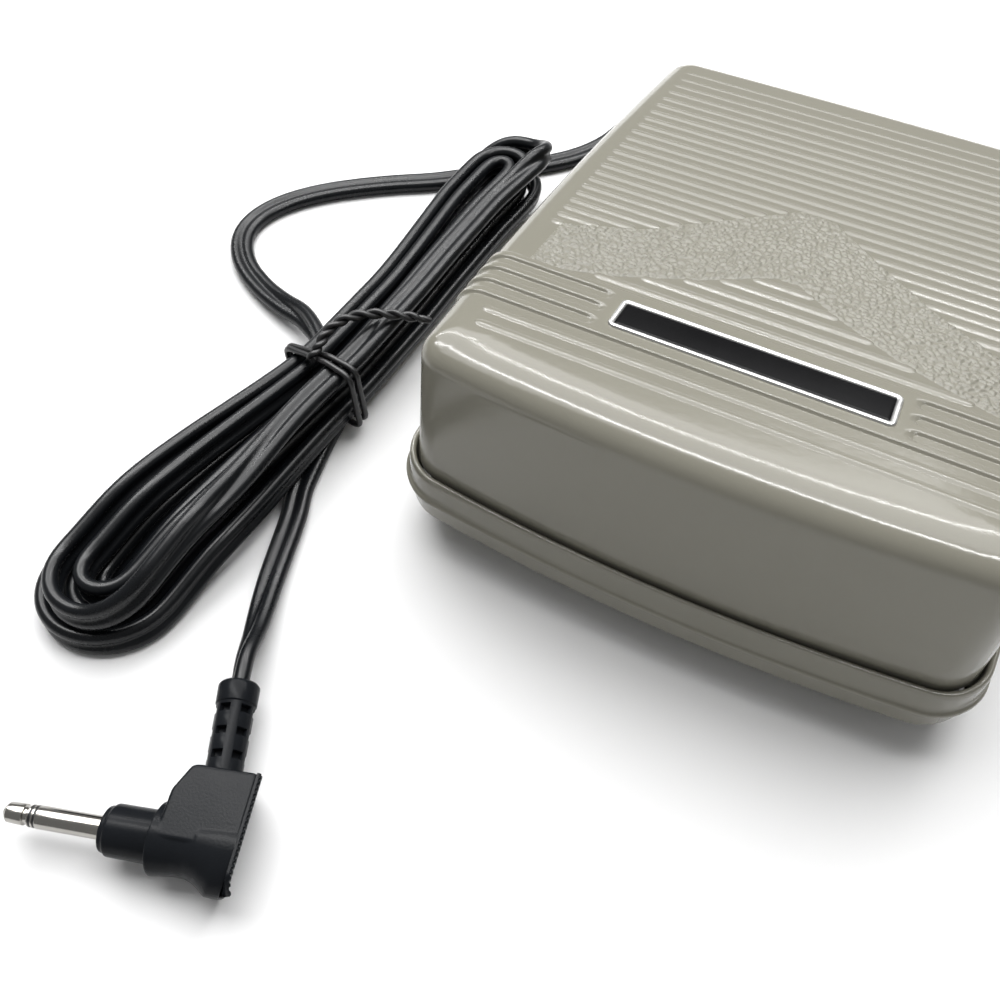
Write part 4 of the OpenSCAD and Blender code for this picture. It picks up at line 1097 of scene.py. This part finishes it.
def jack(place):
    """The jack: sleeve, two dark rings with a bright one between, and the tip."""
    back = place @ Matrix.Rotation(math.pi, 4, "Z")
    nickel = metal("nickel_plate", (0.38, 0.368, 0.342), 0.12, 0.08, 900)
    dark = soft("ring_insulation", (0.012, 0.012, 0.013), 0.35)
    # Name, corner radius, material, slot, profile of (along, radius), and the solid it stands for
    for name, corner, material, slot, profile, *node in (
        ("jack_shaft", 0.08, nickel, "jack_nickel",
         ((-3.5, 0.02), (-3.5, 1.25), (-1.6, 1.25), (-1.6, 1.75), (10.1, 1.75), (10.2, 1.7), (10.2, 0.02)),
         "jack_sleeve"),
        ("jack_rings", 0.08, dark, "black_plastic",
         ((10.15, 0.02), (10.15, 1.66), (10.5, 1.66), (10.5, 1.5), (10.52, 1.5), (10.8, 1.5), (10.82, 1.66),
          (11.2, 1.66), (11.2, 0.02)), "jack_insulator"),
        ("jack_tip_end", 0.08, nickel, "jack_nickel",
         ((11.2, 0.02), (11.2, 1.7), (11.45, 1.7), (11.6, 1.25), (12.2, 1.25), (12.35, 1.62), (14.9, 1.55),
          (15.2, 1.3), (15.3, 0.85), (15.65, 0.7), (15.8, 0.3), (15.8, 0.02)), "jack_tip"),
        ("jack_middle_band", 0.05, nickel, "jack_nickel", ((10.5, 1.45), (10.5, 1.72), (10.82, 1.72), (10.82, 1.45))),
    ):
        form = piece(name, lathe(softened(profile, corner, 3), 56), material, 40)
        shift(form, back)
        seat(form, "base", slot, *node)


class PEDAL_OT_base(PedalPiece, bpy.types.Operator):
    """Build the base tray with its rim, lip, lugs and bosses"""

    bl_idname = "pedal.base"
    bl_label = "Base"

    def execute(self, context):
        lip, top = sizes().lip, sizes().rim_top
        profile = ((9.0, FOOT_Z), (6.2, FOOT_Z), (5.4, FOOT_Z + 0.6), (5.25, SHELF_Z), (1.5, SHELF_Z),
                   (0.95, SHELF_Z + 0.6), (0.75, lip - 0.55), (0.12, lip - 0.25), (0.0, lip + 0.1), (0.05, lip + 0.7),
                   (0.5, lip + 1.0), (0.72, lip + 1.7), (0.95, top - 0.9), (1.2, top - 0.12), (1.55, top),
                   (RIM_IN - 0.15, top - 0.2), (RIM_IN, top - 0.7), (RIM_IN, CHANNEL_Z), (TUB_IN, CHANNEL_Z),
                   (TUB_IN, FLOOR_Z), (TUB_IN + 2, FLOOR_Z))
        parts = [stacked([[(*p, z) for p in outline(inset)] for inset, z in softened(profile, 0.3, 4)])]
        low = FLOOR_Z - 0.5
        for side in (-1, 1):
            near, far = sorted((side * 39.3, side * 42.3))
            x, y = side * SPRING_X, SPRING_Y
            parts += [
                rod((near, HINGE_Y, HINGE_Z), (far, HINGE_Y, HINGE_Z), LUG_R, 40, 0.2),
                slab((near, HINGE_Y - LUG_R, low), (far, HINGE_Y + LUG_R / 2, HINGE_Z)),
                post(x, y, low, 4.2, 6, 40),
                post(x, y, low, 10.7, 3.5, 32, 0.3),
                post(side * 18, 8, low, 6.2, 3.5),
                post(side * 7 - 22, 47.8, low, 6.0, 3),
                *(slab((x, side * 20 - 2.5, low), (x + 10, side * 20 - 1.1, 8.1)) for x in (-45.3, 35.3)),
            ]
        tray = piece("base_tray", join_parts(parts), moulded_shell("moulded_base"), 32)
        seat(tray, "base", "shell_plastic", "base_housing")
        return {"FINISHED"}


class PEDAL_OT_cover(PedalPiece, bpy.types.Operator):
    """Build the hinged cover: walls, rounded edges and what hangs under the tread"""

    bl_idname = "pedal.cover"
    bl_label = "Cover"

    def execute(self, context):
        verts, faces = stacked(cover_rings(), start=False)
        # Inner skin, from the wall's foot up to the underside
        inner = [[(*p, COVER_Z) for p in outline(wall_in(COVER_Z) + 2.2)],
                 tread_ring(6.1, 2.2), tread_ring(3.2, 3.4), tread_ring(2.2, 5.0)]
        inner_verts, inner_faces = stacked(inner, start=False)
        n, at = len(inner[0]), len(verts)
        faces += [tuple(i + at for i in face[::-1]) for face in inner_faces]
        faces += [(i, at + i, at + (i + 1) % n, (i + 1) % n) for i in range(n)]
        parts = [(verts + inner_verts, faces)]
        # The stops end a little above their pads with the cover fully down
        stop_low = FLOOR_Z + 6 + (HINGE_Y - STOP_Y) * math.sin(math.radians(TRAVEL)) + 0.3
        rack_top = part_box("drive_rack")[1].z / MM
        web = ((-59, 9), (HINGE_Y, 6), (HINGE_Y, 1.5), (-59, 1.5))
        for side in (-1, 1):
            near, far = sorted((side * 36, side * 39))
            x, y, rack_y = side * SPRING_X, SPRING_Y, side * 5 - 11
            parts += [
                rod((near, HINGE_Y, HINGE_Z), (far, HINGE_Y, HINGE_Z), LUG_R, 40, 0.2),
                slab((near, HINGE_Y - LUG_R, HINGE_Z), (far, HINGE_Y + LUG_R, tread_z(HINGE_Y + LUG_R) - 1)),
                post(x, y, 25.8, tread_z(y) - 1.2, 6, 40),
                post(x, y, 20.8, 26, 3.2, 32, 0.3),
                post(side * STOP_X, STOP_Y, stop_low, tread_z(STOP_Y) - 1.5, 3, 32, 0.3),
                post(0, rack_y, rack_top, tread_z(rack_y) - 1.5, 3.5),
                stacked([[(x, y, tread_z(y) - drop) for y, drop in web] for x in (side * 18 - 0.7, side * 18 + 0.7)]),
            ]
        cover = piece("cover_skin", join_parts(parts), moulded_shell("moulded_cover"), 32)
        seat(cover, "pedal", "shell_plastic", "pedal_cover")
        return {"FINISHED"}


class PEDAL_OT_ribs(PedalPiece, bpy.types.Operator):
    """Run the fine ribs across the tread, ending at the grained band"""

    bl_idname = "pedal.ribs"
    bl_label = "Tread ribs"

    def execute(self, context):
        s = sizes()
        half = s.rib_width / 2
        # Places along a rib's rounded end, in half widths, and the two long ridges in front of the badge
        ends = (0, 0.04, 0.12, 0.26, 0.46, 0.7, 1.0)
        ridges = [(-41.5, 41.5, -46.8), (-40.9, 40.9, -50.5)]
        verts, edges, strength = [], [], []
        for x0, x1, y in rib_spans() + ridges:
            xs = [x0 + e * half for e in ends] + [x1 - e * half for e in ends[::-1]]
            edges += [(len(verts) + i, len(verts) + i + 1) for i in range(len(xs) - 1)]
            verts += [tuple(c * MM for c in on_tread(x, y, -SUNK)) for x in xs]
            # Ribs get lower towards the hinge
            strength += [1.0 - 0.45 * smooth((y - 30) / 28)] * len(xs)
        mesh = bpy.data.meshes.new("tread_ribs")
        mesh.from_pydata(verts, edges, [])
        mesh.attributes.new("strength", "FLOAT", "POINT").data.foreach_set("value", strength)
        ribs = bpy.data.objects.new("tread_ribs", mesh)
        context.scene.collection.objects.link(ribs)
        grown(ribs, rib_tree(), half_width=half * MM, height=s.rib_height * MM, slope=s.slope,
              material=moulded_shell("moulded_ribs"))
        ribs.data.shade_smooth()
        seat(ribs, "pedal", "shell_plastic")
        return {"FINISHED"}


class PEDAL_OT_band(PedalPiece, bpy.types.Operator):
    """Lay the peaked band of raised grain across the tread"""

    bl_idname = "pedal.band"
    bl_label = "Grained band"

    def execute(self, context):
        half, columns, rows = 41.2, 500, 84
        verts = []
        for i in range(columns + 1):
            x = lerp(-half, half, i / columns)
            low, high = level(BAND_LOW, x), level(BAND_TOP, x)
            for j in range(rows + 1):
                y = lerp(low, high, j / rows)
                # Pebbles are cells, a little longer across, with their borders left low
                sway = 0.35 * noise.noise(Vector((x * 0.9, y * 0.9, 7.7)))
                near = noise.voronoi(Vector((x / 1.3 + sway, y / 0.95 - sway, 0.4)))[0]
                pebble = smooth((near[1] - near[0]) / 0.34)
                edge = min(1, min(j, rows - j) / 2.5, min(i, columns - i) / 5.0)
                verts.append(on_tread(x, y, -SUNK + edge * (0.04 + 0.28 * pebble)))
        n = rows + 1
        faces = [(i * n + j, (i + 1) * n + j, (i + 1) * n + j + 1, i * n + j + 1)
                 for i in range(columns) for j in range(rows)]
        band = piece("grained_band", (verts, faces), moulded_shell("moulded_grain", grain=True), 0)
        seat(band, "pedal", "shell_plastic")
        return {"FINISHED"}


class PEDAL_OT_plateau(PedalPiece, bpy.types.Operator):
    """Raise the plateau round the badge, with grooves beside it that wrap over the side edges"""

    bl_idname = "pedal.plateau"
    bl_label = "Badge plateau"

    def execute(self, context):
        s = sizes()
        rise, low, high = 0.5, -44.0, -30.6
        grooves, groove_end = (-33.5, -37.3, -41.1), 26.2
        r, slope, lean = s.edge, s.slope, math.tan(s.draft)
        arc = [math.pi / 2 * k / 12 for k in range(13)]
        verts = []
        ys = np.arange(low - 0.3, high + 0.31, 0.19)
        for y in ys:
            # Section of the shell at this y, as (x, height over the tread, outward x, outward z)
            half, top = half_width_at(y), tread_z(y)
            side = [(half + depth * lean, -r - depth, 1, 0) for depth in (4.2, 2.8, 1.4)]
            side += [(half - r + r * math.cos(a), r * math.sin(a) - r, math.cos(a), math.sin(a)) for a in arc]
            flat = [(lerp(r - half, half - r, k / 150), 0, 0, 1) for k in range(1, 150)]
            section = [(-x, z, -nx, nz) for x, z, nx, nz in side] + flat + side[::-1]
            edge = smooth((y - low) / 0.45) * smooth((high - y) / 0.45)
            n = len(section)
            for i, (x, z, nx, nz) in enumerate(section):
                away = [math.hypot(y - g, min(0.0, abs(x) - groove_end)) for g in grooves]
                gone = smooth((1.3 - min(away)) / 0.55)
                up = -0.05 + (rise + 0.02) * edge * (1 - gone) * smooth(min(i, n - 1 - i) / 3.0)
                verts.append((x + nx * up, y + nz * up * math.sin(slope), top + z + nz * up * math.cos(slope)))
        faces = [(i * n + j, i * n + j + 1, (i + 1) * n + j + 1, (i + 1) * n + j)
                 for i in range(len(ys) - 1) for j in range(n - 1)]
        plateau = piece("badge_plateau", (verts, faces), moulded_shell("moulded_plateau"), 0)
        seat(plateau, "pedal", "shell_plastic")
        return {"FINISHED"}


def plate_ring(inset, z):
    """The badge's rounded outline, moved in by the inset."""
    r = max(BADGE_R - inset, 0.15)
    ring = []
    for c, (sx, sy) in enumerate(((-1, -1), (1, -1), (1, 1), (-1, 1))):
        for k in range(9):
            a = math.pi * (1 + c / 2) + math.pi / 2 * k / 8
            ring.append((sx * (BADGE_W / 2 - inset - r) + r * math.cos(a),
                         sy * (BADGE_D / 2 - inset - r) + r * math.sin(a), z))
    return ring


class PEDAL_OT_badge(PedalPiece, bpy.types.Operator):
    """Seat the bevelled bright badge rim and its bare dark panel"""

    bl_idname = "pedal.badge"
    bl_label = "Badge"

    def execute(self, context):
        tilt = Matrix.Translation((0, BADGE_Y, tread_z(BADGE_Y))) @ Matrix.Rotation(-sizes().slope, 4, "X")
        rim = ((0.0, -0.3), (0.0, 0.62), (0.12, 0.82), (0.3, 0.9), (0.62, 0.88), (0.8, 0.8), (1.0, 0.62), (1.02, 0.3))
        face = ((1.0, 0.25), (1.0, 0.66), (1.1, 0.74), (1.4, 0.76))
        for name, stops, material, sharp, slot, node in (
            ("badge_rim_plate", rim, badge_silver(), 50, "badge_rim", "badge_frame"),
            ("badge_face_plate", face, badge_black(), 40, "badge_face", "badge_panel"),
        ):
            plate = stacked([plate_ring(inset, z) for inset, z in stops])
            seat(piece(name, moved(plate, tilt), material, sharp), "pedal", slot, node)
        return {"FINISHED"}


class PEDAL_OT_springs(PedalPiece, bpy.types.Operator):
    """Wind the two return springs"""

    bl_idname = "pedal.springs"
    bl_label = "Return springs"

    def execute(self, context):
        wire = metal("spring_wire", (0.34, 0.35, 0.37), 0.3, 0.2)
        # The ends are closed: the first and last turns rise by little more than the wire
        low, high, turns, lap = 5.0, 25.0, 7, 1.1
        at = np.linspace(0, turns, turns * 40 + 1)
        z = np.interp(at, (0, 1, turns - 1, turns), (low, low + lap, high - lap, high))
        turn = 2 * math.pi * at
        for name, x in (("left", -SPRING_X), ("right", SPRING_X)):
            coil = np.stack([x + COIL_R * np.cos(turn), SPRING_Y + COIL_R * np.sin(turn), z, 0 * at], axis=1)
            spring = piece(f"return_coil_{name}", swept(coil, round_section(0.5, 12)), wire, 60)
            seat(spring, "base", "spring_steel", f"return_spring_{name}")
            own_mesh(spring)
        return {"FINISHED"}


class PEDAL_OT_inner_finishes(PedalPiece, bpy.types.Operator):
    """Finish the hinge, screws, feet, rack, sensor and board"""

    bl_idname = "pedal.inner_finishes"
    bl_label = "Inner finishes"

    def execute(self, context):
        shown = {
            metal("bright_steel", (0.62, 0.62, 0.61), 0.25, 0.2):
                ("hinge_pin_left", "hinge_pin_right", "rack_screws", "pot_shaft", "bracket_screws", "board_screws",
                 "clamp_screws"),
            metal("zinc_sheet", (0.66, 0.67, 0.66), 0.3, 0.25, 220): ("pot_bracket",),
            metal("brass_plate", (0.72, 0.55, 0.26), 0.22, 0.15): ("pot_nut",),
            soft("foot_rubber", (0.028, 0.028, 0.028), 0.75, 1300, 0.0001):
                ("foot_front_left", "foot_front_right", "foot_rear_left", "foot_rear_right", "stop_pad_left",
                 "stop_pad_right"),
            soft("gear_nylon", (0.72, 0.7, 0.62), 0.42): ("drive_rack", "pinion"),
            soft("satin_black", (0.018, 0.018, 0.019), 0.4): ("pot_body", "cord_clamp", "cord_gland"),
            soft("red_insulation", (0.4, 0.03, 0.02), 0.35): ("pot_wires",),
            sheath(): ("core_wires",),
            lacquered_board(): ("circuit_board",),
            capacitor_sleeve(): ("filter_capacitor",),
        }
        for material, names in shown.items():
            for name in names:
                paint(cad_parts[name].data, material)
        return {"FINISHED"}


class PEDAL_OT_stage(PedalPiece, bpy.types.Operator):
    """Lay the pale floor and set the soft studio light"""

    bl_idname = "pedal.stage"
    bl_label = "Stage"

    def execute(self, context):
        s = Shade("pale_floor")
        s.set(base_color=s.mix(s.noise(6, 2), (0.78, 0.78, 0.784), (0.8, 0.8, 0.8)), roughness=0.7 + s.noise(40) * 0.1,
              specular_ior_level=0.1)
        reach = 3.0 / MM
        corners = [(-reach, -reach, 0), (reach, -reach, 0), (reach, reach, 0), (-reach, reach, 0)]
        piece("floor", (corners, [(0, 1, 2, 3)]), s.material, 0)
        world = bpy.data.worlds.new("studio")
        world.use_nodes = True
        back = world.node_tree.nodes["Background"]
        back.inputs["Color"].default_value = (1.0, 1.0, 1.0, 1.0)
        back.inputs["Strength"].default_value = 0.29
        context.scene.world = world
        # The strips are narrow lights that draw bright lines on glossy edges and leave the floor alone
        for name, where, at, power, wide, deep in (
            ("softbox", (-0.25, 0.5, 1.05), (0.0, 0.0, 0.0), 36.5, 1.6, 1.2),
            ("strip_low", (-0.15, 0.05, 0.95), (-0.15, 0.0, 0.0), 15.0, 1.9, 0.04),
            ("strip_high", (-0.27, 0.52, 0.8), (-0.15, 0.0, 0.0), 8.0, 1.9, 0.024),
        ):
            data = bpy.data.lights.new(name, "AREA")
            data.energy = power
            data.shape = "RECTANGLE"
            data.size, data.size_y = wide, deep
            light = bpy.data.objects.new(name, data)
            light.location = where
            light.rotation_euler = (Vector(where) - Vector(at)).to_track_quat("Z", "Y").to_euler()
            light.visible_diffuse = name == "softbox"
            context.scene.collection.objects.link(light)
        context.scene.view_settings.view_transform = "Standard"
        context.scene.view_settings.look = "None"
        return {"FINISHED"}


class PEDAL_PT_panel(bpy.types.Panel):
    """Sizes, colours and builders of the pedal"""

    bl_idname = "PEDAL_PT_panel"
    bl_label = "Sewing Machine Pedal"
    bl_space_type = "VIEW_3D"
    bl_region_type = "UI"
    bl_category = "Pedal"

    def draw(self, context):
        for group in (sizes(), cord_sizes(), colours()):
            box = self.layout.box()
            for key in group.__annotations__:
                box.prop(group, key)
        for builder in BUILDERS:
            self.layout.operator(builder.bl_idname)


BUILDERS = (PEDAL_OT_camera, PEDAL_OT_cord, PEDAL_OT_tie, PEDAL_OT_plug, PEDAL_OT_base, PEDAL_OT_cover, PEDAL_OT_ribs,
            PEDAL_OT_band, PEDAL_OT_plateau, PEDAL_OT_badge, PEDAL_OT_springs, PEDAL_OT_inner_finishes, PEDAL_OT_stage)
CLASSES = (PedalSizes, CordSizes, FinishColours, *BUILDERS, PEDAL_PT_panel)


def register():
    for cls in CLASSES:
        bpy.utils.register_class(cls)
    bpy.types.Scene.pedal_sizes = bpy.props.PointerProperty(type=PedalSizes)
    bpy.types.Scene.pedal_cord = bpy.props.PointerProperty(type=CordSizes)
    bpy.types.Scene.pedal_colours = bpy.props.PointerProperty(type=FinishColours)


def unregister():
    del bpy.types.Scene.pedal_colours
    del bpy.types.Scene.pedal_cord
    del bpy.types.Scene.pedal_sizes
    for cls in reversed(CLASSES):
        bpy.utils.unregister_class(cls)


def main():
    register()
    for builder in BUILDERS:
        group, name = builder.bl_idname.split(".")
        result = getattr(getattr(bpy.ops, group), name)()
        if "FINISHED" not in result:
            raise RuntimeError(f"{builder.bl_idname} did not finish")


if __name__ == "__main__":
    main()
